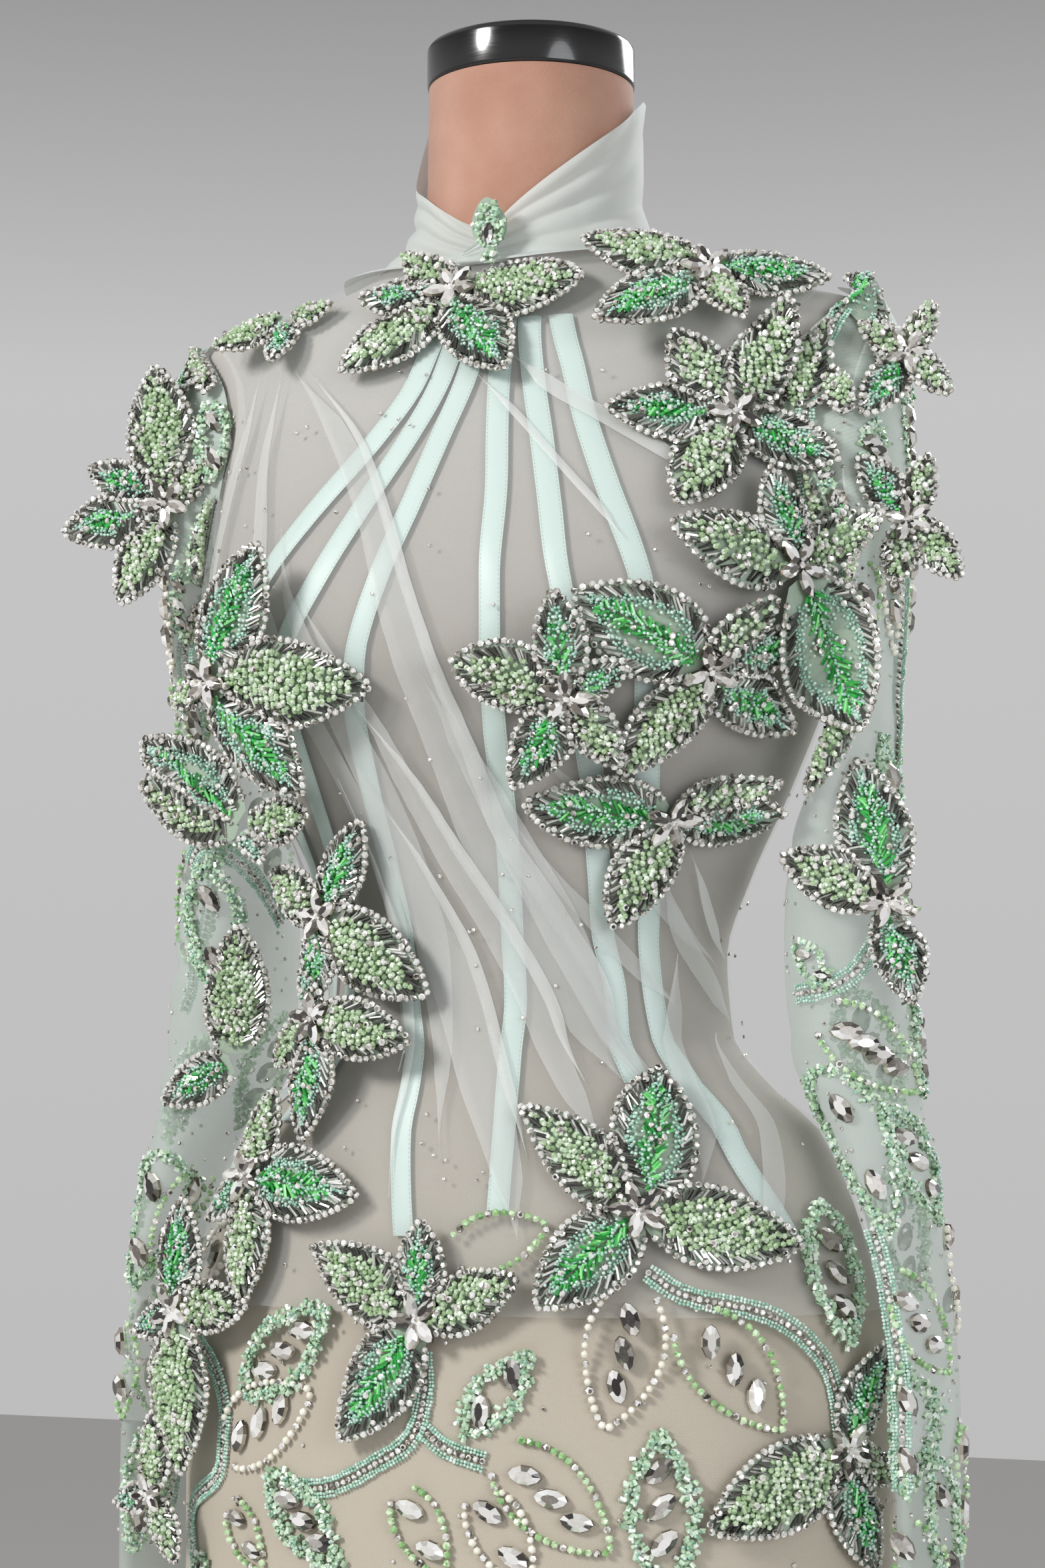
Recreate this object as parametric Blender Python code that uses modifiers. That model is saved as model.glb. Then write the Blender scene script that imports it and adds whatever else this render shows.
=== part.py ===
"""Column evening dress with a high wrapped collar and long empty sleeves, on a limbless dress form.

Metres, +Z up.  The front of the dress faces -Y and the form's left side is +X.
The origin is on the floor, under the middle of the stand's base.
Angles go round the body from the centre front (0) towards the form's left side (90).
"""
import math
from collections import namedtuple
from functools import lru_cache

import bpy
from mathutils import Vector
from mathutils.bvhtree import BVHTree

# Body shape: half width, depth in front of the side seam and depth behind it, at each height
Section = namedtuple("Section", "height half_width front back")
BODY = [
    Section(0.012, 0.185, 0.170, 0.172),
    Section(0.300, 0.183, 0.150, 0.156),
    Section(0.600, 0.183, 0.126, 0.140),
    Section(0.780, 0.185, 0.114, 0.128),
    Section(0.890, 0.186, 0.108, 0.122),
    Section(0.950, 0.174, 0.102, 0.116),
    Section(1.010, 0.150, 0.094, 0.102),
    Section(1.035, 0.122, 0.088, 0.090),
    Section(1.060, 0.104, 0.083, 0.080),
    Section(1.100, 0.101, 0.081, 0.078),
    Section(1.140, 0.114, 0.087, 0.083),
    Section(1.180, 0.133, 0.097, 0.090),
    Section(1.220, 0.150, 0.110, 0.096),
    Section(1.250, 0.161, 0.117, 0.099),
    Section(1.280, 0.167, 0.116, 0.101),
    Section(1.320, 0.167, 0.106, 0.101),
    Section(1.360, 0.168, 0.092, 0.098),
    Section(1.400, 0.177, 0.077, 0.088),
    Section(1.424, 0.183, 0.066, 0.074),
    Section(1.432, 0.160, 0.062, 0.070),
    Section(1.440, 0.127, 0.059, 0.066),
    Section(1.451, 0.092, 0.0565, 0.062),
    Section(1.466, 0.067, 0.0550, 0.0585),
    Section(1.480, 0.0575, 0.0545, 0.0565),
    Section(1.500, 0.0545, 0.0540, 0.0550),
    Section(1.575, 0.0535, 0.0535, 0.0545),
]
CUP_HEIGHT = 1.262
CUP_ANGLE = 38.0
CUP_RISE = 0.013
CUP_SPREAD = 27.0
CUP_TALL = 0.055
CHEST_HEIGHT = 1.30
CHEST_TALL = 0.09
CHEST_SQUARENESS = 0.05

# Heights at which every layer of cloth has a row of points
LEVELS = [0.015, 0.42, 0.79, 0.87, 0.925, 0.962, 0.99, 1.015, 1.035, 1.055, 1.08, 1.107, 1.136, 1.165,
          1.195, 1.222, 1.243, 1.263, 1.286, 1.312, 1.342, 1.372, 1.398, 1.416, 1.427, 1.4345, 1.4425, 1.450]

# Distance of each layer's inner face from the form, and its thickness
DRESS_OUT = 0.0009
DRESS_WALL = 0.0012
TAPE_OUT = 0.0037
TAPE_WALL = 0.0010
DRAPE_OUT = 0.0055
DRAPE_WALL = 0.0010
FLOWER_ON_DRAPE = 0.0081
FLOWER_ON_DRESS = 0.0034
FLOWER_WALL = 0.0024
FLOWER_LAYER = 0.0066
CLOSURE_OUT = 0.0027
CLOSURE_WALL = 0.0010
SEAM_GAP = 0.0003

# Form and stand
FORM_BOTTOM = 0.740
NECK_LEVELS = [1.460, 1.472, 1.485, 1.500]
NECK_TOP = 1.5555
CAP_TOP = 1.578
CAP_RADIUS = 0.0547
CAP_BEVEL = 0.0015
POLE_RADIUS = 0.0125
BASE_RADIUS = 0.150
BASE_THICKNESS = 0.010
BASE_BOSS = 0.032

# Armhole: an oval on the side of the body, seen along X.  The dress is cut to it, the sleeve is lapped over
# its edge, and the draped tulle stops further back.
ARMHOLE_HEIGHT = 1.357
ARMHOLE_TALL = 0.0715
ARMHOLE_DEEP = 0.0460
SLEEVE_LAP = 0.0022
DRAPE_BACK = 0.0100

# Where seams and edges stop
NECK_SEAM = 1.450
DRAPE_HEM = 0.925
CLOSURE_WIDTH = 0.009

# Collar bands: distance from the neck, how far each runs past the centre front, and where the upper one
# comes down to the neck again beside the crossing
COLLAR_OUT = 0.0012
COLLAR_WALL = 0.0012
COLLAR_PAST = 7.0
COLLAR_OVER = 0.0022
COLLAR_OVER_END = 42.0
COLLAR_OVER_RUN = 26.0
COLLAR_FLARE = 0.0022
COLLAR_PLEAT = 0.0008
COLLAR_FRONT = 1.466
COLLAR_CLIMB = 0.080
COLLAR_SIDE = 98.0
COLLAR_RIGHT_CURVE = 1.6
COLLAR_LEFT_CURVE = 0.85

# How much deeper than the cloth's shape the form lies beside the armholes
FORM_EASE = 0.0030

# Columns of facets round the body
FRONT_COLUMNS = 20
BACK_COLUMNS = 6
COLUMN_ANGLES = ([-180 + 90 * k / BACK_COLUMNS for k in range(BACK_COLUMNS)]
                 + [-90 + 180 * k / FRONT_COLUMNS for k in range(FRONT_COLUMNS)]
                 + [90 + 90 * k / BACK_COLUMNS for k in range(BACK_COLUMNS + 1)])

# Satin tapes over the boning: angle of each one's middle at each height, from the form's right to its left
TAPE_WIDTH = 0.0105
TapeRow = namedtuple("TapeRow", "height right_side right_bust right_centre left_centre left_bust left_side")
TAPES = [
    TapeRow(0.962, -60, -46, -9, 7, 40, 61),
    TapeRow(1.010, -69, -46, -12, 8.5, 40, 54),
    TapeRow(1.045, -68, -46, -14.5, 11, 41, 55),
    TapeRow(1.076, -64, -46, -18, 13, 41, 53),
    TapeRow(1.110, -60, -44, -20.5, 12, 37, 51),
    TapeRow(1.160, -55, -40, -21, 10.5, 31, 43),
    TapeRow(1.210, -50, -36, -19.5, 9, 26, 38),
    TapeRow(1.245, -44, -31, -16, 9, 23, 35.5),
    TapeRow(1.280, -35, -23, -11.5, 8.5, 20, 32.5),
    TapeRow(1.320, -25.5, -16, -7, 8, 17, 27),
    TapeRow(1.355, -16, -9.5, -3.5, 6.5, 14, 22),
    TapeRow(1.385, -9.5, -5, -0.5, 5.3, 11, 18),
    TapeRow(1.405, -7.5, -3.5, 0.5, 4.8, 9.2, 15),
]
TAPE_ENDS = {"right_side": 0.962, "right_bust": 1.015, "right_centre": 0.962,
             "left_centre": 0.975, "left_bust": 1.035, "left_side": 0.962}
TAPE_TOP = 1.400

# Largest folds of the draped tulle: where each one starts, bends and ends, its height and its half width
Fold = namedtuple("Fold", "start middle end rise half_width")
FOLDS = [
    Fold((-33, 1.397), (-8, 1.262), (30, 1.045), 0.0020, 0.012),
    Fold((-27, 1.300), (-9, 1.190), (17, 1.030), 0.0018, 0.011),
    Fold((-14, 1.200), (-4, 1.110), (6, 1.000), 0.0014, 0.010),
    Fold((58, 1.150), (62, 1.090), (48, 1.012), 0.0020, 0.010),
    Fold((70, 1.140), (76, 1.080), (62, 1.010), 0.0018, 0.010),
    Fold((3, 1.374), (19, 1.354), (34, 1.335), 0.0012, 0.009),
]

# Sleeve rings from the shoulder to the cuff: outer and inner point, half depth, and how far front and back
# lie in from the plane through those points
SleeveRing = namedtuple("SleeveRing", "outer_x outer_z inner_x inner_z half_depth inset")
SLEEVE = [
    SleeveRing(0.1885, 1.4310, 0.1780, 1.2750, 0.047, 0.019),
    SleeveRing(0.1985, 1.4050, 0.1790, 1.2650, 0.048, 0.012),
    SleeveRing(0.2000, 1.3680, 0.1780, 1.2510, 0.048, 0.006),
    SleeveRing(0.1980, 1.3280, 0.1755, 1.2370, 0.048, 0.002),
    SleeveRing(0.1940, 1.2800, 0.1710, 1.2180, 0.047, 0.000),
    SleeveRing(0.1900, 1.2200, 0.1620, 1.1930, 0.047, 0.000),
    SleeveRing(0.1910, 1.1600, 0.1430, 1.1550, 0.044, 0.000),
    SleeveRing(0.1965, 1.1000, 0.1380, 1.1000, 0.042, 0.000),
    SleeveRing(0.2010, 1.0500, 0.1420, 1.0500, 0.042, 0.000),
    SleeveRing(0.2080, 1.0000, 0.1675, 1.0000, 0.044, 0.000),
    SleeveRing(0.2140, 0.9400, 0.1895, 0.9400, 0.046, 0.000),
    SleeveRing(0.2180, 0.8800, 0.1960, 0.8800, 0.047, 0.000),
    SleeveRing(0.2190, 0.8150, 0.1965, 0.8150, 0.047, 0.000),
    SleeveRing(0.2190, 0.7450, 0.1965, 0.7450, 0.047, 0.000),
]
SLEEVE_POINTS = 16
SLEEVE_WALL = 0.0012
SLEEVE_SEAM_OUT = 0.0036

# Petals that reach past the front of the sleeve go on straight from there, between these heights
SLEEVE_FRONT = 0.0500
SLEEVE_FRONT_LOW = 1.17
SLEEVE_FRONT_HIGH = 1.44
SLEEVE_FRONT_ANGLE = 45.0

# Leaf flowers.  On the body the place is (angle, height); a flower that stands off the cloth has
# (x, y, z, facing, tilt) and the radius that it is bent to, where that isn't FLAT_BEND.
# Petals are (clock angle from the viewer's right, length in mm).  A flower is sewn down at its middle, or
# held by a petal that touches the cloth.
Flower = namedtuple("Flower", "name ground place layer sewn_at petals")
FLOWERS = [
    Flower("neck", "body", (-5, 1.43), 0, "middle",
           [(-139, 69), (-55, 66), (-2, 70), (186, 48), (146, 42)]),
    Flower("left_chest", "body", (47.6, 1.3582), 0, "middle",
           [(129, 55), (73, 63), (178, 59), (-25, 54), (-116, 60)]),
    Flower("left_armhole", "body", (58.3, 1.283), 1, "middle",
           [(168, 58), (104, 46), (34, 47), (-54, 87)]),
    Flower("left_bust_inner", "body", (23.3, 1.2271), 1, "middle",
           [(164, 57), (98, 44), (31, 30), (-114, 51), (-56, 41)]),
    Flower("left_bust_outer", "body", (46.2, 1.238), 0.1, "petal",
           [(152, 74), (66, 37), (-29, 58), (-117, 60), (22, 47)]),
    Flower("left_ribs", "body", (47.3, 1.1673), 0, "middle",
           [(173, 70), (-104, 58), (6, 53), (36, 48)]),
    Flower("front_hip", "body", (-4.5, 0.9216), 0, "middle",
           [(147, 65), (91, 48), (22, 53), (-124, 69)]),
    Flower("left_front_hip", "body", (31.6, 0.9746), 0, "middle",
           [(131, 65), (69, 73), (-15, 73), (-139, 69)]),
    Flower("left_low_hip", "body", (68.6, 0.8619), 0, "petal",
           [(-154, 77), (67, 52), (-77, 61), (-30, 34)]),
    Flower("collar_leaf", "body", (3, 1.452), 1, "middle",
           [(90, 28), (-90, 14)]),
    Flower("right_bust", "air", (-0.124, -0.1214, 1.2352, -20, -10, 0.12), 0, "petal",
           [(60, 75), (-6, 86), (-52, 75), (-158, 27)]),
    Flower("right_ribs", "air", (-0.0766, -0.0885, 1.1189, -22, 0, 0.1), 0, "petal",
           [(62, 53), (-34, 71), (-101, 46), (152, 48)]),
    Flower("right_waist", "air", (-0.0779, -0.0933, 1.0679, -22, 0, 0.1), 0, "petal",
           [(-11, 56), (-102, 61), (-148, 38), (110, 25)]),
    Flower("right_hip", "air", (-0.1185, -0.0846, 0.9892, -26, 8, 0.13), 0, "petal",
           [(-3, 70), (-87, 64), (75, 46), (-138, 33)]),
    Flower("right_elbow", "air", (-0.1249, -0.0802, 1.1647, -6, 0), 0, "petal",
           [(144, 81), (158, 69), (7, 44), (-59, 22)]),
    Flower("left_shoulder_top", "air", (0.1148, -0.0569, 1.4362, 25, 36), 0, "petal",
           [(158, 65), (-147, 67), (-68, 39), (1, 61)]),
    Flower("right_shoulder_top", "air", (-0.1114, -0.0597, 1.4291, -8, 34), 0, "petal",
           [(-155, 42), (-85, 32), (6, 27)]),
    Flower("left_sleeve_head", "air", (0.2096, -0.0332, 1.393, 21, 0), 0, "petal",
           [(146, 27), (60, 27), (-123, 38), (-41, 29)]),
    Flower("left_sleeve_cap", "air", (0.2105, -0.0379, 1.3095, 21, 0), 0, "petal",
           [(124, 39), (-47, 38), (72, 33), (-103, 33)]),
    Flower("left_sleeve_elbow", "air", (0.1985, -0.0392, 1.1243, 21, 0), 0, "petal",
           [(99, 70), (155, 55), (-75, 51), (-19, 15)]),
    Flower("right_sleeve_head", "air", (-0.1855, -0.0508, 1.3388, 4, 0), 0, "petal",
           [(153, 49), (-169, 60), (-117, 58), (95, 75), (44, 33)]),
    Flower("right_sleeve_elbow", "air", (-0.1459, -0.0455, 1.0474, 0, 0), 0, "petal",
           [(90, 70), (-152, 46)]),
    Flower("right_sleeve_low", "air", (-0.1597, -0.0827, 0.9218, -22, 0, 0.12), 0, "petal",
           [(83, 57), (8, 48), (-90, 82), (-158, 33)]),
    Flower("right_sleeve_cuff", "air", (-0.1752, -0.076, 0.8287, -22, 0, 0.12), 0, "petal",
           [(85, 41), (-169, 27), (-62, 37)]),
]
PETAL_SHARE = 0.46
PETAL_STATIONS = (0.30, 0.58, 0.84)
PETAL_ROOM = 0.88
PETAL_SPACE = 0.0010
PETAL_DOME = 0.0010
DOME_WIDTH = 0.012
TIP_LIFT = 0.0020
HUB = 0.0090
STITCH_GAP = 0.0006
FOOT_WALL = 0.0150
# Radius that a flower off the body is bent to, where it isn't given
FLAT_BEND = 0.30
GROUNDS = ["draped_tulle", "dress_front", "collar_left", "collar_right", "sleeve_left", "sleeve_right"]

# Below the draped tulle's edge a flower lies closer to the body
EDGE_BELOW = 0.030
EDGE_RUN = 0.022

# Materials: name, colour, roughness, metallic

FORM_CLOTH = ("form_jersey", (0.72, 0.50, 0.38), 0.85, 0.0)
METAL = ("black_metal", (0.02, 0.02, 0.02), 0.18, 0.9)
NET = ("beige_net", (0.62, 0.58, 0.52), 0.8, 0.0)
MINT = ("mint_tulle", (0.74, 0.84, 0.80), 0.7, 0.0)
SATIN = ("mint_satin", (0.66, 0.86, 0.80), 0.4, 0.0)
BEADS = ("green_beadwork", (0.20, 0.48, 0.26), 0.3, 0.0)


def smooth_read(rows, column, at):
    """Value of one column of a table at a height, by a curve that doesn't overshoot between rows."""
    xs = [row[0] for row in rows]
    ys = [row[column] for row in rows]
    last = len(xs) - 2
    at = min(max(at, xs[0]), xs[-1])
    i = max(k for k in range(last + 1) if xs[k] <= at)
    slopes = [(ys[k + 1] - ys[k]) / (xs[k + 1] - xs[k]) for k in range(last + 1)]

    def tangent(k):
        if k == 0 or k > last:
            return slopes[min(k, last)]
        if slopes[k - 1] * slopes[k] <= 0:
            return 0.0
        return 2 * slopes[k - 1] * slopes[k] / (slopes[k - 1] + slopes[k])

    h = xs[i + 1] - xs[i]
    t = (at - xs[i]) / h
    return ((1 + 2 * t) * (1 - t) ** 2 * ys[i] + t * (1 - t) ** 2 * h * tangent(i)
            + t * t * (3 - 2 * t) * ys[i + 1] + t * t * (t - 1) * h * tangent(i + 1))


def body_point(angle, height):
    """Point of the form's surface."""
    s = math.sin(math.radians(angle))
    c = math.cos(math.radians(angle))
    depth = smooth_read(BODY, 2 if c > 0 else 3, height)
    chest = math.exp(-((height - CHEST_HEIGHT) / CHEST_TALL) ** 2)
    square = 1 + CHEST_SQUARENESS * chest * math.sin(math.radians(2 * angle)) ** 2
    cup = CUP_RISE * math.exp(-((height - CUP_HEIGHT) / CUP_TALL) ** 2)
    cup *= sum(math.exp(-((angle - side * CUP_ANGLE) / CUP_SPREAD) ** 2) for side in (-1, 1))
    x = smooth_read(BODY, 1, height) * s * square + 0.6 * cup * s
    y = -depth * c * square - 0.9 * cup * c
    return Vector((x, y, height))


def layer_point(angle, height, out):
    """Point at a distance out from the form's surface."""
    step_round = 0.05
    step_up = 0.0003
    across = body_point(angle + step_round, height) - body_point(angle - step_round, height)
    up = body_point(angle, height + step_up) - body_point(angle, height - step_up)
    return body_point(angle, height) + across.cross(up).normalized() * out


def angle_at_depth(height, y):
    """Angle at which the body's side has the given y."""
    low, high = 20.0, 160.0
    for _ in range(30):
        middle = (low + high) / 2
        if body_point(middle, height).y < y:
            low = middle
        else:
            high = middle
    return (low + high) / 2


def form_point(angle, height):
    """Point of the form, which lies a little deeper round the armholes than the cloth's shape does."""
    near = 2.0 - armhole_share(body_point(angle, height).y, height, 0.0)
    ease = FORM_EASE * min(1.0, max(0.0, near / 0.5)) if 35 < abs(angle) < 145 else 0.0
    return layer_point(angle, height, -ease)


@lru_cache(maxsize=None)
def grid_corner(row, column):
    """Surface point and outward direction at a corner of the cloth's facets."""
    angle = COLUMN_ANGLES[column]
    point = layer_point(angle, LEVELS[row], 0.0)
    return point, layer_point(angle, LEVELS[row], 1.0) - point


def facet_point(angle, height, out):
    """Point at a distance out from the flat facets that the cloth's panels are made of."""
    if not LEVELS[0] <= height < LEVELS[-1]:
        return layer_point(angle, height, out)
    angle = (angle + 180) % 360 - 180
    row = max(k for k in range(len(LEVELS) - 1) if LEVELS[k] <= height)
    column = max(k for k in range(len(COLUMN_ANGLES) - 1) if COLUMN_ANGLES[k] <= angle)
    up = (height - LEVELS[row]) / (LEVELS[row + 1] - LEVELS[row])
    along = (angle - COLUMN_ANGLES[column]) / (COLUMN_ANGLES[column + 1] - COLUMN_ANGLES[column])
    made = Vector((0, 0, 0))
    for r, c, share in ((row, column, (1 - up) * (1 - along)), (row, column + 1, (1 - up) * along),
                        (row + 1, column, up * (1 - along)), (row + 1, column + 1, up * along)):
        point, normal = grid_corner(r, c)
        made += share * (point + normal * out)
    return made


def armhole_share(y, height, margin):
    """How far out from the armhole's middle a place is: 1 on its edge, less inside it."""
    return math.hypot(y / (ARMHOLE_DEEP + margin), (height - ARMHOLE_HEIGHT) / (ARMHOLE_TALL + margin))


def fold_rise(angle, height):
    """How far the folds of the draped tulle lift it at a place."""
    here = body_point(angle, height)
    lift = 0.0
    for fold in FOLDS:
        best = 1.0
        share = 0.0
        steps = 14
        for k in range(steps + 1):
            t = k / steps
            a = (1 - t) ** 2 * fold.start[0] + 2 * t * (1 - t) * fold.middle[0] + t * t * fold.end[0]
            z = (1 - t) ** 2 * fold.start[1] + 2 * t * (1 - t) * fold.middle[1] + t * t * fold.end[1]
            far = (body_point(a, z) - here).length
            if far < best:
                best = far
                share = t
        ends = math.sin(math.pi * (0.08 + 0.84 * share))
        lift += fold.rise * ends * math.exp(-(best / fold.half_width) ** 2)
    return lift


def sleeve_value(column, down):
    rows = [(k / (len(SLEEVE) - 1),) + tuple(ring) for k, ring in enumerate(SLEEVE)]
    return smooth_read(rows, column + 1, down)


def sleeve_point(side, round_angle, down, out):
    """Point on a sleeve: round_angle 0 is its outer side and 90 its front; side is +1 for the form's left."""
    outer_x, outer_z, inner_x, inner_z, depth, inset = [sleeve_value(k, down) for k in range(6)]
    span = math.hypot(outer_x - inner_x, outer_z - inner_z)
    c = math.cos(math.radians(round_angle))
    s = math.sin(math.radians(round_angle))
    reach = (span / 2 + out) * c
    x = (outer_x + inner_x) / 2 + reach * (outer_x - inner_x) / span - inset * s * s
    z = (outer_z + inner_z) / 2 + reach * (outer_z - inner_z) / span
    return Vector((side * x, -(depth + out) * s, z))


def sleeve_seam_point(side, round_angle):
    """Point of the ring that is lapped over the armhole's edge."""
    c = math.cos(math.radians(round_angle))
    height = ARMHOLE_HEIGHT + (ARMHOLE_TALL + SLEEVE_LAP) * c
    y = -(ARMHOLE_DEEP + SLEEVE_LAP) * math.sin(math.radians(round_angle))
    point = layer_point(angle_at_depth(height, y), height, SLEEVE_SEAM_OUT + 0.0015 * max(c, 0.0) ** 4)
    return Vector((side * point.x, point.y, point.z))


def material(look):
    name, colour, roughness, metallic = look
    found = bpy.data.materials.get(name)
    if found:
        return found
    made = bpy.data.materials.new(name)
    made.use_nodes = True
    shader = made.node_tree.nodes["Principled BSDF"]
    shader.inputs["Base Color"].default_value = (*colour, 1.0)
    shader.inputs["Roughness"].default_value = roughness
    shader.inputs["Metallic"].default_value = metallic
    return made


def add_object(name, points, faces, look):
    mesh = bpy.data.meshes.new(name)
    mesh.from_pydata([tuple(p) for p in points], [], faces)
    mesh.update()
    made = bpy.data.objects.new(name, mesh)
    made.data.materials.append(material(look))
    parts.objects.link(made)
    mesh.shade_smooth()
    return made


def grid_faces(rows, columns, closed=False, flip=False):
    """Quads of a grid whose points are stored row by row."""
    faces = []
    for r in range(rows - 1):
        for c in range(columns if closed else columns - 1):
            d = (c + 1) % columns
            quad = (r * columns + c, r * columns + d, (r + 1) * columns + d, (r + 1) * columns + c)
            faces.append(quad[::-1] if flip else quad)
    return faces


def thicken(made, thickness):
    """Gives an open surface its wall, on the side that its faces point to."""
    wall = made.modifiers.new("wall", "SOLIDIFY")
    wall.thickness = thickness
    wall.offset = 1.0
    wall.use_rim = True
    return made


def panel(name, heights, angles, out, wall, look, margin=0.0):
    """Cloth panel on the body, with points at the given heights and angles, cut round the armhole."""
    rows, columns = len(heights), len(angles)
    places = {}
    for r, height in enumerate(heights):
        for c, angle in enumerate(angles):
            seam = seam_degrees(height, angle)
            inward = seam if c == 0 else -seam if c == columns - 1 else 0.0
            places[r, c] = (angle + inward, height)
    kept, cut = [], []
    for r in range(rows - 1):
        for c in range(columns - 1):
            middle_angle = (angles[c] + angles[c + 1]) / 2
            middle_height = (heights[r] + heights[r + 1]) / 2
            inside = armhole_share(body_point(middle_angle, middle_height).y, middle_height, margin) < 1
            (cut if inside else kept).append(((r, c), (r, c + 1), (r + 1, c + 1), (r + 1, c)))
    used = sorted({corner for cell in kept for corner in cell})
    for corner in {corner for cell in cut for corner in cell} & set(used):
        angle, height = places[corner]
        side = 1 if angle > 0 else -1
        y = body_point(angle, height).y
        share = armhole_share(y, height, margin)
        moved = ARMHOLE_HEIGHT + (height - ARMHOLE_HEIGHT) / share
        places[corner] = (side * angle_at_depth(moved, y / share), moved)
    index = {corner: k for k, corner in enumerate(used)}
    points = [layer_point(*places[corner], out(*places[corner])) for corner in used]
    made = add_object(name, points, [[index[corner] for corner in cell] for cell in kept], look)
    return thicken(made, wall)


def seam_degrees(height, angle):
    """Half the seam gap as an angle round the body."""
    step = (body_point(angle + 0.5, height) - body_point(angle - 0.5, height)).length
    return 0.5 * SEAM_GAP / step + 0.01


def spread(first, last, count):
    """Evenly spaced values with both ends."""
    return [first + (last - first) * k / count for k in range(count + 1)]


def build_form():
    """Torso and neck as one closed loft through the body's sections, with the cap, pole and base."""
    heights = [FORM_BOTTOM] + [z for z in LEVELS if z > FORM_BOTTOM + 0.02] + NECK_LEVELS + [NECK_TOP]
    angles = COLUMN_ANGLES[:-1]
    points = [form_point(a, z) for z in heights for a in angles]
    columns = len(angles)
    faces = grid_faces(len(heights), columns, closed=True)
    top = (len(heights) - 1) * columns
    faces.append(tuple(reversed(range(columns))))
    faces.append(tuple(range(top, top + columns)))
    add_object("form_torso", points, faces, FORM_CLOTH)
    cylinder("form_cap", CAP_RADIUS, NECK_TOP + SEAM_GAP, CAP_TOP, 36, METAL, CAP_BEVEL)
    foot = BASE_THICKNESS + BASE_BOSS
    cylinder("form_pole", POLE_RADIUS, foot + SEAM_GAP, FORM_BOTTOM - SEAM_GAP, 16, METAL, 0)
    build_base()


def cylinder(name, radius, bottom, top, sides, look, bevel):
    bpy.ops.mesh.primitive_cylinder_add(vertices=sides, radius=radius, depth=top - bottom,
                                        location=(0, 0, (top + bottom) / 2))
    made = bpy.context.object
    made.name = name
    made.data.name = name
    made.data.materials.append(material(look))
    for holder in list(made.users_collection):
        holder.objects.unlink(made)
    parts.objects.link(made)
    if bevel:
        rounded = made.modifiers.new("rounded", "BEVEL")
        rounded.width = bevel
        rounded.segments = 1
        rounded.limit_method = "ANGLE"
    return made


def build_base():
    """Turned base plate with a low boss round the pole's foot."""
    boss = 2.4 * POLE_RADIUS
    top = BASE_THICKNESS + BASE_BOSS
    profile = [(0, top), (0.7 * boss, top), (boss, BASE_THICKNESS + 0.006), (1.6 * boss, BASE_THICKNESS),
               (BASE_RADIUS, 0.5 * BASE_THICKNESS), (BASE_RADIUS, 0.0), (0, 0.0)]
    edges = [(k, k + 1) for k in range(len(profile) - 1)]
    mesh = bpy.data.meshes.new("stand_base")
    mesh.from_pydata([(x, 0, z) for x, z in profile], edges, [])
    made = bpy.data.objects.new("stand_base", mesh)
    made.data.materials.append(material(METAL))
    parts.objects.link(made)
    turned = made.modifiers.new("turned", "SCREW")
    turned.steps = 32
    turned.render_steps = 32
    turned.use_merge_vertices = True
    turned.merge_threshold = 0.0001


def build_dress():
    """Net body and column skirt: one front, two backs that meet at the closure."""
    for name, first, last, columns in (("dress_front", -90, 90, FRONT_COLUMNS),
                                       ("dress_back_left", 90, 180, BACK_COLUMNS),
                                       ("dress_back_right", -180, -90, BACK_COLUMNS)):
        panel(name, LEVELS, spread(first, last, columns), lambda angle, height: DRESS_OUT, DRESS_WALL, NET)


def build_closure():
    """Flap of the concealed closure down the centre back, from the nape to the hip."""
    heights = [z for z in LEVELS if DRAPE_HEM <= z < NECK_SEAM - 0.004]
    half = CLOSURE_WIDTH / 2
    points = []
    for height in heights:
        degree = (body_point(180.5, height) - body_point(179.5, height)).length
        points += [layer_point(180 + side * half / degree, height, CLOSURE_OUT) for side in (-1, 0, 1)]
    thicken(add_object("back_closure", points, grid_faces(len(heights), 3), NET), CLOSURE_WALL)


def build_drape():
    """Draped tulle over the bodice, with its largest folds."""
    heights = [z for z in LEVELS if DRAPE_HEM <= z < NECK_SEAM] + [NECK_SEAM - 0.001]
    panel("draped_tulle", heights, spread(-90, 90, FRONT_COLUMNS), lambda a, z: DRAPE_OUT + fold_rise(a, z),
          DRAPE_WALL, MINT, DRAPE_BACK)


def build_tapes():
    """Satin tapes that cover the boning, fanning out from the neck."""
    for column, name in enumerate(TapeRow._fields[1:], start=1):
        bottom = TAPE_ENDS[name]
        heights = [bottom] + [z for z in LEVELS if bottom + 0.006 < z < TAPE_TOP - 0.006] + [TAPE_TOP]
        points = []
        for height in heights:
            middle = smooth_read(TAPES, column, height)
            lean = smooth_read(TAPES, column, height + 0.004) - smooth_read(TAPES, column, height - 0.004)
            along = (body_point(middle + lean / 2, height + 0.004)
                     - body_point(middle - lean / 2, height - 0.004))
            degree = (body_point(middle + 0.5, height) - body_point(middle - 0.5, height)).length
            slant = along.length / 0.008
            half = TAPE_WIDTH / 2 * min(slant, 2.2) / degree
            for share in (-1, 0, 1):
                points.append(facet_point(middle + share * half, height, TAPE_OUT))
        made = add_object("tape_" + name, points, grid_faces(len(heights), 3), SATIN)
        thicken(made, TAPE_WALL)


def collar_top(side, angle):
    """Height of the collar's upper edge: a V at the centre front that climbs to the nape."""
    share = min(max(0.0, side * angle) / COLLAR_SIDE, 1.0)
    return COLLAR_FRONT + COLLAR_CLIMB * share ** (COLLAR_LEFT_CURVE if side > 0 else COLLAR_RIGHT_CURVE)


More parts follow.
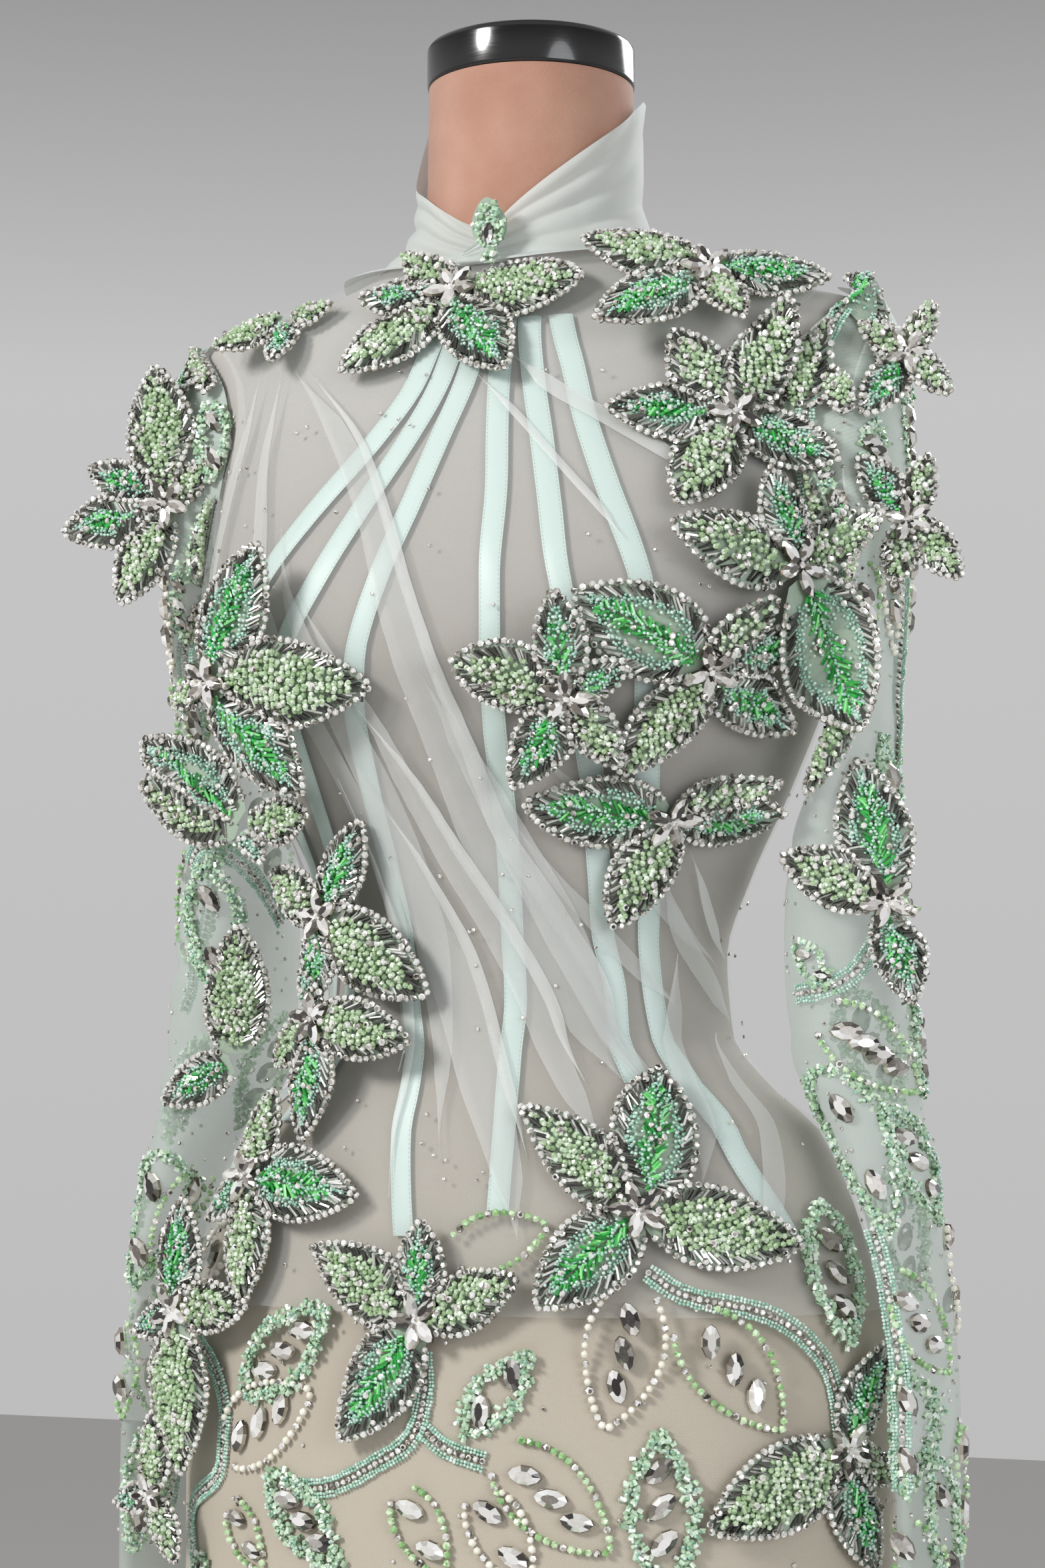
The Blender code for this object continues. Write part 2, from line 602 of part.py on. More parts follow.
def build_collar():
    """Two wrapped bands of tulle that cross at the centre front, each from there round to the centre back."""
    rows = 5
    columns = 16
    for side, name in ((-1, "collar_right"), (1, "collar_left")):
        points = []
        for r in range(rows):
            for c in range(columns + 1):
                start = -side * COLLAR_PAST
                end = side * (180.0 - 0.35)
                angle = start + (end - start) * c / columns
                share = r / (rows - 1)
                low = NECK_SEAM + 2 * SEAM_GAP + COLLAR_WALL
                height = low + share * (collar_top(side, angle) - low)
                cross = max(0.0, min(1.0, (COLLAR_OVER_END - side * angle) / COLLAR_OVER_RUN))
                out = COLLAR_OUT + (COLLAR_OVER * cross if side > 0 else 0.0)
                flare = COLLAR_FLARE * share * min(abs(angle) / 90.0, 1.0)
                points.append(layer_point(angle, height, out + flare + COLLAR_PLEAT * (r % 2)))
        made = add_object(name, points, grid_faces(rows, columns + 1, flip=side < 0), MINT)
        thicken(made, COLLAR_WALL)


def build_sleeves():
    """Long empty sleeves: an open tube each, from the armhole to the cuff."""
    turns = [360.0 * c / SLEEVE_POINTS for c in range(SLEEVE_POINTS)]
    for side, name in ((1, "sleeve_left"), (-1, "sleeve_right")):
        points = [sleeve_seam_point(side, turn) for turn in turns]
        for r in range(len(SLEEVE)):
            points += [sleeve_point(side, turn, r / (len(SLEEVE) - 1), 0.0) for turn in turns]
        faces = grid_faces(len(SLEEVE) + 1, SLEEVE_POINTS, closed=True, flip=side < 0)
        thicken(add_object(name, points, faces, MINT), SLEEVE_WALL)


def on_body(angle, height):
    """Function that places a local point (across, up, out) on the body round a given place."""
    def place(across, up, out):
        steps = 10
        z = height
        for _ in range(steps):
            slope = (body_point(angle, z + 0.0005) - body_point(angle, z - 0.0005)).length / 0.001
            z += up / steps / slope
        turned = angle
        for _ in range(3):
            middle = (angle + turned) / 2
            degree = (body_point(middle + 0.5, z) - body_point(middle - 0.5, z)).length
            turned = angle + across / degree
        ease = min(1.0, max(0.0, (z - DRAPE_HEM + EDGE_BELOW) / EDGE_RUN))
        base = FLOWER_ON_DRESS + (FLOWER_ON_DRAPE - FLOWER_ON_DRESS) * ease
        if z > DRAPE_HEM:
            base += fold_rise(turned, z)
        if SLEEVE_FRONT_LOW < z < SLEEVE_FRONT_HIGH and abs(turned) > SLEEVE_FRONT_ANGLE:
            side = math.copysign(1, turned)
            limit = angle_at_depth(z, -SLEEVE_FRONT)
            beyond = max(0.0, abs(turned) - limit) * degree
            point = facet_point(side * min(abs(turned), limit), z, base + out)
            point.x += side * beyond
            return point
        return facet_point(turned, z, base + out)
    return place


def in_air(x, y, z, facing, tilt, bend=FLAT_BEND):
    """The same for a flower that stands off the cloth, facing its own way and bent back round an upright."""
    a = math.radians(facing)
    t = math.radians(tilt)
    middle = Vector((x, y, z))
    normal = Vector((math.sin(a) * math.cos(t), -math.cos(a) * math.cos(t), math.sin(t)))
    across_way = Vector((-normal.y, normal.x, 0)).normalized()
    up_way = normal.cross(across_way)

    def place(across, up, out):
        droop = across * across / (2 * bend) + up * up / (2 * FLAT_BEND)
        return middle + across_way * across + up_way * up + normal * (out - droop)
    return place


def petal_half_width(share, length):
    """Half width of a leaf-shaped petal along its length."""
    return PETAL_SHARE / 2 * length * math.sin(math.pi * share ** 0.85) ** 0.75


def stitched_point(hub, grounds):
    """Point just over the nearest cloth or petal, where a flower's middle is sewn down."""
    found, _, _, distance = min((tree.find_nearest(hub) for tree in grounds), key=lambda hit: hit[3])
    return found + (hub - found) * min(1.0, STITCH_GAP / distance)


def flower(name, place, lift, petals, grounds):
    """Leaf flower: pointed petals that grow from one hub, as one wall of beadwork on stiff net."""
    petals = sorted((angle % 360, length / 1000) for angle, length in petals)
    hub = place(0, 0, lift)
    points = [stitched_point(hub, grounds) if grounds else hub]
    notches = []
    count = len(petals)
    gaps = []
    for k, (angle, _) in enumerate(petals):
        gap = (petals[(k + 1) % count][0] - angle) % 360 or 360
        gaps.append(gap)
        middle = math.radians(angle + gap / 2)
        reach = HUB if gap < 200 else 0.6 * HUB
        notches.append(len(points))
        points.append(place(reach * math.cos(middle), reach * math.sin(middle), lift))
    faces = []
    for k, (angle, length) in enumerate(petals):
        way = math.radians(angle)
        right, middle, left = [], [], []
        for share in PETAL_STATIONS:
            run = share * length
            wide = petal_half_width(share, length)
            room_right = PETAL_ROOM * run * math.tan(math.radians(min(gaps[k - 1], 150) / 2)) - PETAL_SPACE
            room_left = PETAL_ROOM * run * math.tan(math.radians(min(gaps[k], 150) / 2)) - PETAL_SPACE
            dome = PETAL_DOME * min(1.0, min(wide, room_left, room_right) / DOME_WIDTH)
            rise = lift + TIP_LIFT * share * share
            for row, wid, bulge in ((right, -min(wide, room_right), 0), (middle, 0, dome),
                                    (left, min(wide, room_left), 0)):
                across = run * math.cos(way) - wid * math.sin(way)
                up = run * math.sin(way) + wid * math.cos(way)
                row.append(len(points))
                points.append(place(across, up, rise + bulge))
        tip = len(points)
        points.append(place(length * math.cos(way), length * math.sin(way), lift + TIP_LIFT))
        before, after = notches[k - 1], notches[k]
        faces += [(0, before, right[0]), (0, right[0], middle[0])]
        faces += [(0, middle[0], left[0]), (0, left[0], after)]
        for j in range(len(PETAL_STATIONS) - 1):
            faces.append((right[j], right[j + 1], middle[j + 1], middle[j]))
            faces.append((middle[j], middle[j + 1], left[j + 1], left[j]))
        faces += [(right[-1], tip, middle[-1]), (middle[-1], tip, left[-1])]
    made = thicken(add_object("flower_" + name, points, faces, BEADS), FOOT_WALL)
    shares = made.vertex_groups.new(name="wall")
    shares.add(list(range(len(points))), FLOWER_WALL / FOOT_WALL, "REPLACE")
    shares.add([0], (FLOWER_WALL + (hub - points[0]).length) / FOOT_WALL, "REPLACE")
    made.modifiers["wall"].vertex_group = "wall"
    return made


def solid_tree(made):
    """The finished solid of an object, for finding the nearest point on it."""
    bpy.context.view_layer.update()
    return BVHTree.FromObject(made, bpy.context.evaluated_depsgraph_get())


def build_flowers():
    """All the leaf flowers, the lowest layer first, each sewn to what is already there."""
    places = {"body": on_body, "air": in_air}
    grounds = [solid_tree(parts.objects[name]) for name in GROUNDS]
    for row in sorted(FLOWERS, key=lambda row: row.layer):
        place = places[row.ground](*row.place)
        sewn_on = grounds if row.sewn_at == "middle" else []
        grounds.append(solid_tree(flower(row.name, place, row.layer * FLOWER_LAYER, row.petals, sewn_on)))


for old in list(bpy.data.objects):
    bpy.data.objects.remove(old, do_unlink=True)
parts = bpy.data.collections.new("column_evening_dress")
bpy.context.scene.collection.children.link(parts)

build_form()
build_dress()
build_closure()
build_drape()
build_tapes()
build_collar()
build_sleeves()
build_flowers()
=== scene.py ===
"""Column evening dress with a high wrapped collar and long empty sleeves, on a limbless dress form.

Metres, +Z up.  The front of the dress faces -Y and the form's left side is +X.
Angles go round the body from the centre front (0) towards the form's left side (90).
"""
import math
from collections import namedtuple

import bpy
import numpy as np
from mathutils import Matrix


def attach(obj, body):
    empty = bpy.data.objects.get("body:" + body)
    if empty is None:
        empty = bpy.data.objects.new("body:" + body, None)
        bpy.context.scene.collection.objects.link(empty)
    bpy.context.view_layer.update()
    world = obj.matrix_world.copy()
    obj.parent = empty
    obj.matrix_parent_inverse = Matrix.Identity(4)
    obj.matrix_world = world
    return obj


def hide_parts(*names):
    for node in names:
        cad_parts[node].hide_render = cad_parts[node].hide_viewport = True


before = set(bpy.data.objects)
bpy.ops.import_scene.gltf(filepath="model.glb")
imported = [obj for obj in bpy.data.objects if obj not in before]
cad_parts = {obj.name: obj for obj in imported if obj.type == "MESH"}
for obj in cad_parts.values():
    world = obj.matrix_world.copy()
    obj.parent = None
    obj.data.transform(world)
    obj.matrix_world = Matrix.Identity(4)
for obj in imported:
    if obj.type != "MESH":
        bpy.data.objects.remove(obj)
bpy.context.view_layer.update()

# Camera and studio
# The view is a little from the form's left and level with its hips.  Pale floor, three soft lights, and pale
# surroundings with a dark and a bright band higher up, so that the stones have something to reflect.
CAMERA_PLACE = (0.605, -1.5887, 1.050)
CAMERA_UP_TILT = 94.7
CAMERA_TURN = 21.0
CAMERA_LENS = 75.7
SKY_BANDS = [(0.0, 0.42), (0.44, 0.60), (0.60, 0.66), (0.70, 0.16), (0.84, 0.80), (1.0, 0.34)]
SKY_STRENGTH = 0.85
FLOOR_WIDTH = 14.0

scene = bpy.context.scene
camera = bpy.data.objects.new("camera", bpy.data.cameras.new("camera"))
scene.collection.objects.link(camera)
camera.location = CAMERA_PLACE
camera.rotation_euler = (math.radians(CAMERA_UP_TILT), 0.0, math.radians(CAMERA_TURN))
camera.data.lens = CAMERA_LENS
camera.data.sensor_width = 36.0
camera.data.clip_start = 0.05
scene.camera = camera
scene.view_settings.view_transform = "Standard"


def dye(red, green, blue):
    """Linear colour from the values that a colour card gives."""
    card = [value / 255 for value in (red, green, blue)]
    return tuple(v / 12.92 if v <= 0.04045 else ((v + 0.055) / 1.055) ** 2.4 for v in card)


def add_node(made, kind, values=None, **settings):
    """New node with its settings and the plain values of its inputs."""
    node = made.node_tree.nodes.new(kind)
    for key, value in settings.items():
        setattr(node, key, value)
    for key, value in (values or {}).items():
        node.inputs[key].default_value = value
    return node


def link(made, out_socket, in_socket):
    """Joins two sockets of a finish or of the surroundings."""
    made.node_tree.links.new(out_socket, in_socket)


def ramp(made, source, stops):
    """Colour ramp over a value; stops are (place, colour)."""
    node = add_node(made, "ShaderNodeValToRGB")
    while len(node.color_ramp.elements) < len(stops):
        node.color_ramp.elements.new(0.5)
    for element, (place, colour) in zip(node.color_ramp.elements, stops):
        element.position = place
        element.color = (*colour, 1.0)
    link(made, source, node.inputs["Fac"])
    return node.outputs["Color"]


def soft_light(name, place, aim, size, power, colour):
    """Round soft lamp that points at a place."""
    lamp = bpy.data.lights.new(name, "AREA")
    lamp.shape = "DISK"
    lamp.size = size
    lamp.energy = power
    lamp.color = colour
    made = bpy.data.objects.new(name, lamp)
    scene.collection.objects.link(made)
    way = np.array(aim) - np.array(place)
    made.location = place
    flat = math.hypot(way[0], way[1])
    made.rotation_euler = (math.atan2(flat, -way[2]), 0.0, math.atan2(-way[0], way[1]))


soft_light("key_light", (-1.5, -2.3, 2.5), (0.0, 0.0, 1.15), 0.8, 66.0, (1.0, 0.985, 0.96))
soft_light("fill_light", (2.3, -1.7, 1.5), (0.0, 0.0, 1.10), 1.6, 24.0, (0.96, 0.98, 1.0))
soft_light("rim_light", (0.9, 2.2, 2.4), (0.0, 0.0, 1.20), 1.4, 34.0, (1.0, 1.0, 1.0))

surroundings = bpy.data.worlds.new("surroundings")
scene.world = surroundings
surroundings.use_nodes = True
sky = surroundings.node_tree.nodes["Background"]
sky_place = add_node(surroundings, "ShaderNodeTexCoord")
sky_axes = add_node(surroundings, "ShaderNodeSeparateXYZ")
link(surroundings, sky_place.outputs["Generated"], sky_axes.inputs["Vector"])
sky_height = add_node(surroundings, "ShaderNodeMapRange", {"From Min": -1.0, "From Max": 1.0})
link(surroundings, sky_axes.outputs["Z"], sky_height.inputs["Value"])
sky_stops = [(place, (grey,) * 3) for place, grey in SKY_BANDS]
sky_colour = ramp(surroundings, sky_height.outputs["Result"], sky_stops)
link(surroundings, sky_colour, sky.inputs["Color"])
sky.inputs["Strength"].default_value = SKY_STRENGTH

bpy.ops.mesh.primitive_plane_add(size=FLOOR_WIDTH, location=(0, 0, 0))
floor = bpy.context.object
floor.name = "floor"
floor_finish = bpy.data.materials.new("pale_floor")
floor_finish.use_nodes = True
floor_shader = floor_finish.node_tree.nodes["Principled BSDF"]
floor_shader.inputs["Base Color"].default_value = (0.62, 0.61, 0.60, 1.0)
floor_shader.inputs["Roughness"].default_value = 0.7
floor.data.materials.append(floor_finish)

# Dress form
# Limbless torso and neck in peach jersey over a hard shell, with a black lacquered metal cap on the neck and
# a pole and turned plate below.  The jersey is pulled tight over the shell and tucked under the cap.
Section = namedtuple("Section", "height half_width front back")
BODY = [
    Section(0.012, 0.185, 0.170, 0.172),
    Section(0.300, 0.183, 0.150, 0.156),
    Section(0.600, 0.183, 0.126, 0.140),
    Section(0.780, 0.185, 0.114, 0.128),
    Section(0.890, 0.186, 0.108, 0.122),
    Section(0.950, 0.174, 0.102, 0.116),
    Section(1.010, 0.150, 0.094, 0.102),
    Section(1.035, 0.122, 0.088, 0.090),
    Section(1.060, 0.104, 0.083, 0.080),
    Section(1.100, 0.101, 0.081, 0.078),
    Section(1.140, 0.114, 0.087, 0.083),
    Section(1.180, 0.133, 0.097, 0.090),
    Section(1.220, 0.150, 0.110, 0.096),
    Section(1.250, 0.161, 0.117, 0.099),
    Section(1.280, 0.167, 0.116, 0.101),
    Section(1.320, 0.167, 0.106, 0.101),
    Section(1.360, 0.168, 0.092, 0.098),
    Section(1.400, 0.177, 0.077, 0.088),
    Section(1.424, 0.183, 0.066, 0.074),
    Section(1.432, 0.160, 0.062, 0.070),
    Section(1.440, 0.127, 0.059, 0.066),
    Section(1.451, 0.092, 0.0565, 0.062),
    Section(1.466, 0.067, 0.0550, 0.0585),
    Section(1.480, 0.0575, 0.0545, 0.0565),
    Section(1.500, 0.0545, 0.0540, 0.0550),
    Section(1.575, 0.0535, 0.0535, 0.0545),
]
CUP_HEIGHT = 1.262
CUP_ANGLE = 38.0
CUP_RISE = 0.013
CUP_SPREAD = 27.0
CUP_TALL = 0.055
CHEST_HEIGHT = 1.30
CHEST_TALL = 0.09
CHEST_SQUARENESS = 0.05
FORM_BOTTOM = 0.740
NECK_TOP = 1.5555
FORM_EASE = 0.0030
ARMHOLE_HEIGHT = 1.357
ARMHOLE_TALL = 0.0715
ARMHOLE_DEEP = 0.0460
CAP_TOP = 1.578
CAP_RADIUS = 0.0547
POLE_RADIUS = 0.0125
BASE_RADIUS = 0.150
BASE_THICKNESS = 0.010
BASE_BOSS = 0.032
CAP_PROFILE = [
    (0.0, CAP_TOP), (0.046, CAP_TOP), (0.0515, CAP_TOP - 0.0002), (0.0536, CAP_TOP - 0.0008),
    (0.0545, CAP_TOP - 0.002), (CAP_RADIUS, CAP_TOP - 0.004), (CAP_RADIUS, NECK_TOP + 0.002),
    (0.0544, NECK_TOP + 0.0006), (0.0535, NECK_TOP + 0.0003),
]
POLE_PROFILE = [(POLE_RADIUS, BASE_THICKNESS + BASE_BOSS), (POLE_RADIUS, 0.40), (POLE_RADIUS, FORM_BOTTOM)]
BASE_PROFILE = [
    (0.0, 0.0), (0.1495, 0.0), (BASE_RADIUS, 0.001), (BASE_RADIUS, 0.0045), (0.1490, 0.0056),
    (0.1450, 0.0062), (0.100, 0.0078), (0.052, 0.0098), (0.044, 0.0108), (0.034, 0.0150),
    (0.0285, 0.0230), (0.0245, 0.0340), (0.0225, 0.0400), (0.0200, 0.0418), (POLE_RADIUS, 0.0420),
]
ROUND_SIDES = 96
POLE_SIDES = 32
FORM_COLUMNS = 91


def read_curve(rows, column, at):
    """Values of one column of a table at given heights, by a curve that doesn't overshoot between rows."""
    xs = np.array([row[0] for row in rows], float)
    ys = np.array([row[column] for row in rows], float)
    slopes = np.diff(ys) / np.diff(xs)
    tangent = np.concatenate([slopes[:1], np.zeros(len(xs) - 2), slopes[-1:]])
    before, after = slopes[:-1], slopes[1:]
    same = before * after > 0
    tangent[1:-1][same] = 2 * before[same] * after[same] / (before[same] + after[same])
    at = np.clip(at, xs[0], xs[-1])
    i = np.clip(np.searchsorted(xs, at, side="right") - 1, 0, len(xs) - 2)
    h = xs[i + 1] - xs[i]
    t = (at - xs[i]) / h
    return ((1 + 2 * t) * (1 - t) ** 2 * ys[i] + t * (1 - t) ** 2 * h * tangent[i]
            + t * t * (3 - 2 * t) * ys[i + 1] + t * t * (t - 1) * h * tangent[i + 1])


def body_point(angle, height):
    """Points of the form's surface."""
    angle, height = np.broadcast_arrays(np.asarray(angle, float), np.asarray(height, float))
    s, c = np.sin(np.radians(angle)), np.cos(np.radians(angle))
    depth = np.where(c > 0, read_curve(BODY, 2, height), read_curve(BODY, 3, height))
    chest = np.exp(-((height - CHEST_HEIGHT) / CHEST_TALL) ** 2)
    square = 1 + CHEST_SQUARENESS * chest * np.sin(np.radians(2 * angle)) ** 2
    cup = CUP_RISE * np.exp(-((height - CUP_HEIGHT) / CUP_TALL) ** 2)
    cup = cup * sum(np.exp(-((angle - side * CUP_ANGLE) / CUP_SPREAD) ** 2) for side in (-1, 1))
    x = read_curve(BODY, 1, height) * s * square + 0.6 * cup * s
    y = -depth * c * square - 0.9 * cup * c
    return np.stack([x, y, height], -1)


def unit(way):
    """Ways of length one."""
    return way / np.maximum(np.linalg.norm(way, axis=-1, keepdims=True), 1e-12)


def layer_point(angle, height, out):
    """Points at a distance out from the form's surface."""
    angle, height = np.asarray(angle, float), np.asarray(height, float)
    across = body_point(angle + 0.05, height) - body_point(angle - 0.05, height)
    up = body_point(angle, height + 0.0003) - body_point(angle, height - 0.0003)
    return body_point(angle, height) + unit(np.cross(across, up)) * np.asarray(out, float)[..., None]


def armhole_share(y, height, margin=0.0):
    """How far out from the armhole's middle a place is: 1 on its edge, less inside it."""
    return np.hypot(y / (ARMHOLE_DEEP + margin), (height - ARMHOLE_HEIGHT) / (ARMHOLE_TALL + margin))


def angle_at_depth(height, y):
    """Angle at which the body's side has the given y."""
    height, y = np.broadcast_arrays(np.asarray(height, float), np.asarray(y, float))
    low, high = np.full(height.shape, 20.0), np.full(height.shape, 160.0)
    for _ in range(30):
        middle = (low + high) / 2
        front_of_it = body_point(middle, height)[..., 1] < y
        low, high = np.where(front_of_it, middle, low), np.where(front_of_it, high, middle)
    return (low + high) / 2


def mesh_piece(name, points, faces, finishes, finish_index=None, smooth=True, measures=None, tone=None):
    """Object from arrays of points and equal-sided faces; measures are the cloth's own metres, as its UV map,
    and tone is a value for each face that picks its colour: the bead's own shade, with painted reflections on
    its facets."""
    points, faces = np.asarray(points, float), np.asarray(faces, int)
    sides = faces.shape[1]
    mesh = bpy.data.meshes.new(name)
    mesh.vertices.add(len(points))
    mesh.vertices.foreach_set("co", points.ravel())
    mesh.loops.add(faces.size)
    mesh.loops.foreach_set("vertex_index", faces.ravel())
    mesh.polygons.add(len(faces))
    mesh.polygons.foreach_set("loop_start", np.arange(0, faces.size, sides))
    if finish_index is not None:
        mesh.polygons.foreach_set("material_index", np.asarray(finish_index, int))
    mesh.polygons.foreach_set("use_smooth", np.broadcast_to(np.asarray(smooth, bool), len(faces)).copy())
    mesh.update(calc_edges=True)
    if measures is not None:
        layer = mesh.uv_layers.new(name="cloth")
        layer.data.foreach_set("uv", np.asarray(measures, float)[faces.ravel()].ravel())
    if tone is not None:
        shade = mesh.attributes.new("tone", "FLOAT", "FACE")
        shade.data.foreach_set("value", np.asarray(tone, float))
    for finish in finishes:
        mesh.materials.append(finish)
    made = bpy.data.objects.new(name, mesh)
    scene.collection.objects.link(made)
    return made


def grid_faces(rows, columns, kept=None, flip=False):
    """Quads of a grid whose points are stored row by row."""
    r, c = np.meshgrid(np.arange(rows - 1), np.arange(columns - 1), indexing="ij")
    low = r * columns + c
    quads = np.stack([low, low + 1, low + columns + 1, low + columns], -1)
    quads = quads[..., ::-1] if flip else quads
    return quads[kept] if kept is not None else quads.reshape(-1, 4)


def new_finish(name, colour, roughness, **values):
    """Material with one shader; plain values are set on the shader's own sockets."""
    made = bpy.data.materials.new(name)
    made.use_nodes = True
    shader = made.node_tree.nodes["Principled BSDF"]
    shader.inputs["Base Color"].default_value = (*colour, 1.0)
    shader.inputs["Roughness"].default_value = roughness
    for key, value in values.items():
        shader.inputs[key.replace("_", " ").title()].default_value = value
    return made, shader


def bumped(made, shader, height_socket, strength, distance):
    """Gives a finish a relief."""
    bump = add_node(made, "ShaderNodeBump", {"Strength": strength, "Distance": distance})
    link(made, height_socket, bump.inputs["Height"])
    link(made, bump.outputs["Normal"], shader.inputs["Normal"])


def jersey_finish():
    """Fine peach jersey: soft mottling, and the knit's columns as fine ribs."""
    made, shader = new_finish("peach_jersey", dye(178, 134, 113), 0.85,
                              sheen_weight=0.35, sheen_roughness=0.5)
    place = add_node(made, "ShaderNodeTexCoord")
    mottle = add_node(made, "ShaderNodeTexNoise", {"Scale": 26.0, "Detail": 4.0})
    link(made, place.outputs["Object"], mottle.inputs["Vector"])
    link(made, ramp(made, mottle.outputs["Fac"], [(0.30, dye(170, 124, 104)), (0.72, dye(188, 146, 126))]),
         shader.inputs["Base Color"])
    knit = add_node(made, "ShaderNodeTexNoise", {"Scale": 900.0, "Detail": 2.0})
    link(made, place.outputs["Object"], knit.inputs["Vector"])
    bumped(made, shader, knit.outputs["Fac"], 0.35, 0.0006)
    return made


def lacquer_finish():
    """Black lacquered metal with faint turning marks."""
    made, shader = new_finish("black_lacquer", (0.006, 0.006, 0.007), 0.14,
                              coat_weight=0.4, coat_roughness=0.05)
    place = add_node(made, "ShaderNodeTexCoord")
    marks = add_node(made, "ShaderNodeTexNoise", {"Scale": 60.0, "Detail": 3.0})
    spread = add_node(made, "ShaderNodeMapping", {"Scale": (1.0, 1.0, 14.0)})
    link(made, place.outputs["Object"], spread.inputs["Vector"])
    link(made, spread.outputs["Vector"], marks.inputs["Vector"])
    level = add_node(made, "ShaderNodeMapRange", {"To Min": 0.10, "To Max": 0.24})
    link(made, marks.outputs["Fac"], level.inputs["Value"])
    link(made, level.outputs["Result"], shader.inputs["Roughness"])
    bumped(made, shader, marks.outputs["Fac"], 0.05, 0.0004)
    return made


def turned(name, profile, sides, finish):
    """Piece turned on a lathe from a profile of (radius, height)."""
    angles = np.linspace(0, 2 * math.pi, sides + 1)
    radius, height = np.array(profile, float).T
    points = np.stack([radius[:, None] * np.sin(angles), -radius[:, None] * np.cos(angles),
                       np.broadcast_to(height[:, None], (len(radius), sides + 1))], -1)
    made = mesh_piece(name, points.reshape(-1, 3), grid_faces(len(radius), sides + 1), [finish])
    merged = made.modifiers.new("merged", "WELD")
    merged.merge_threshold = 0.00001
    return made


form_heights = np.concatenate([np.arange(FORM_BOTTOM, 1.40, 0.010), np.arange(1.40, 1.47, 0.0035),
                               np.arange(1.475, NECK_TOP, 0.010), [NECK_TOP]])
form_grid_a, form_grid_z = np.meshgrid(np.linspace(-180, 180, FORM_COLUMNS), form_heights)
near_armhole = 2.0 - armhole_share(body_point(form_grid_a, form_grid_z)[..., 1], form_grid_z)
beside = (np.abs(form_grid_a) > 35) & (np.abs(form_grid_a) < 145)
ease = FORM_EASE * np.clip(near_armhole / 0.5, 0, 1) * beside
form_points = layer_point(form_grid_a, form_grid_z, -ease)
under = form_points[0] * [0.02, 0.02, 1.0]
form_points = np.concatenate([under[None], form_points])
torso = mesh_piece("jersey_torso", form_points.reshape(-1, 3), grid_faces(len(form_points), FORM_COLUMNS),
                   [jersey_finish()])
lacquer = lacquer_finish()
cap = turned("neck_cap", CAP_PROFILE, ROUND_SIDES, lacquer)
pole = turned("stand_pole", POLE_PROFILE, POLE_SIDES, lacquer)
base = turned("stand_plate", BASE_PROFILE, ROUND_SIDES, lacquer)
for piece, node in ((torso, "form_torso"), (cap, "form_cap"), (pole, "form_pole"), (base, "stand_base")):
    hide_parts(node)
    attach(piece, "root")

# Net body and skirt
# One front panel and two back panels of fine diagonal net over a skin-coloured lining, cut as a column and
# seamed at the sides.  They hang in soft folds from the hip and end in a turned hem a finger above the floor.
NET_OUT = 0.0016
NET_LEVEL_STEP = 0.009
SHOULDER_LOW = 1.395
SHOULDER_STEP = 0.0035
DRESS_HEM = 0.015
NECK_SEAM = 1.450
NET_TOP = 1.457
NET_CELL = 0.00115
NET_SLANT = 58
FOLD_FADE = 0.46
FOLD_FADE_POWER = 1.15
TROUGH_SHARE = 0.45
TROUGH_AWAY = 1.7
SkirtFold = namedtuple("SkirtFold", "angle top drift depth width")
SKIRT_FOLDS = [
    SkirtFold(-158, 0.74, 3, 0.0062, 9),
    SkirtFold(-131, 0.62, -4, 0.0048, 7),
    SkirtFold(-108, 0.78, 5, 0.0068, 10),
    SkirtFold(-83, 0.55, 2, 0.0040, 6),
    SkirtFold(-64, 0.70, -5, 0.0066, 9),
    SkirtFold(-41, 0.58, 3, 0.0050, 8),
    SkirtFold(-17, 0.66, -2, 0.0056, 7),
    SkirtFold(7, 0.50, 4, 0.0044, 9),
    SkirtFold(29, 0.72, 3, 0.0064, 8),
    SkirtFold(54, 0.60, -3, 0.0052, 7),
    SkirtFold(78, 0.76, 4, 0.0070, 10),
    SkirtFold(103, 0.57, -2, 0.0042, 6),
    SkirtFold(126, 0.71, 5, 0.0064, 9),
    SkirtFold(152, 0.60, -4, 0.0050, 8),
    SkirtFold(176, 0.68, 0, 0.0046, 8),
]


def skirt_rise(angle, height):
    """How far the skirt's soft folds stand out from its plain shape."""
    rise = np.zeros(np.broadcast(angle, height).shape)
    for fold in SKIRT_FOLDS:
        down = np.clip((fold.top - height) / FOLD_FADE, 0, 1) ** FOLD_FADE_POWER
        away = (angle - fold.angle - fold.drift * down + 180) % 360 - 180
        ridge = np.exp(-(away / fold.width) ** 2)
        trough = TROUGH_SHARE * np.exp(-((away - TROUGH_AWAY * fold.width) / fold.width) ** 2)
        rise = rise + fold.depth * down * (ridge - trough)
    return rise


def cloth_measures(points):
    """The cloth's own metres across and along, from its grid of points."""
    across = np.linalg.norm(np.diff(points, axis=1), axis=-1)
    along = np.linalg.norm(np.diff(points, axis=0), axis=-1)
    u = np.concatenate([np.zeros((points.shape[0], 1)), np.cumsum(across, 1)], 1)
    u = u - u[:, u.shape[1] // 2][:, None]
    v = np.concatenate([np.zeros((1, points.shape[1])), np.cumsum(along, 0)], 0)
    return np.stack([u, np.broadcast_to(v.mean(1, keepdims=True), v.shape)], -1)


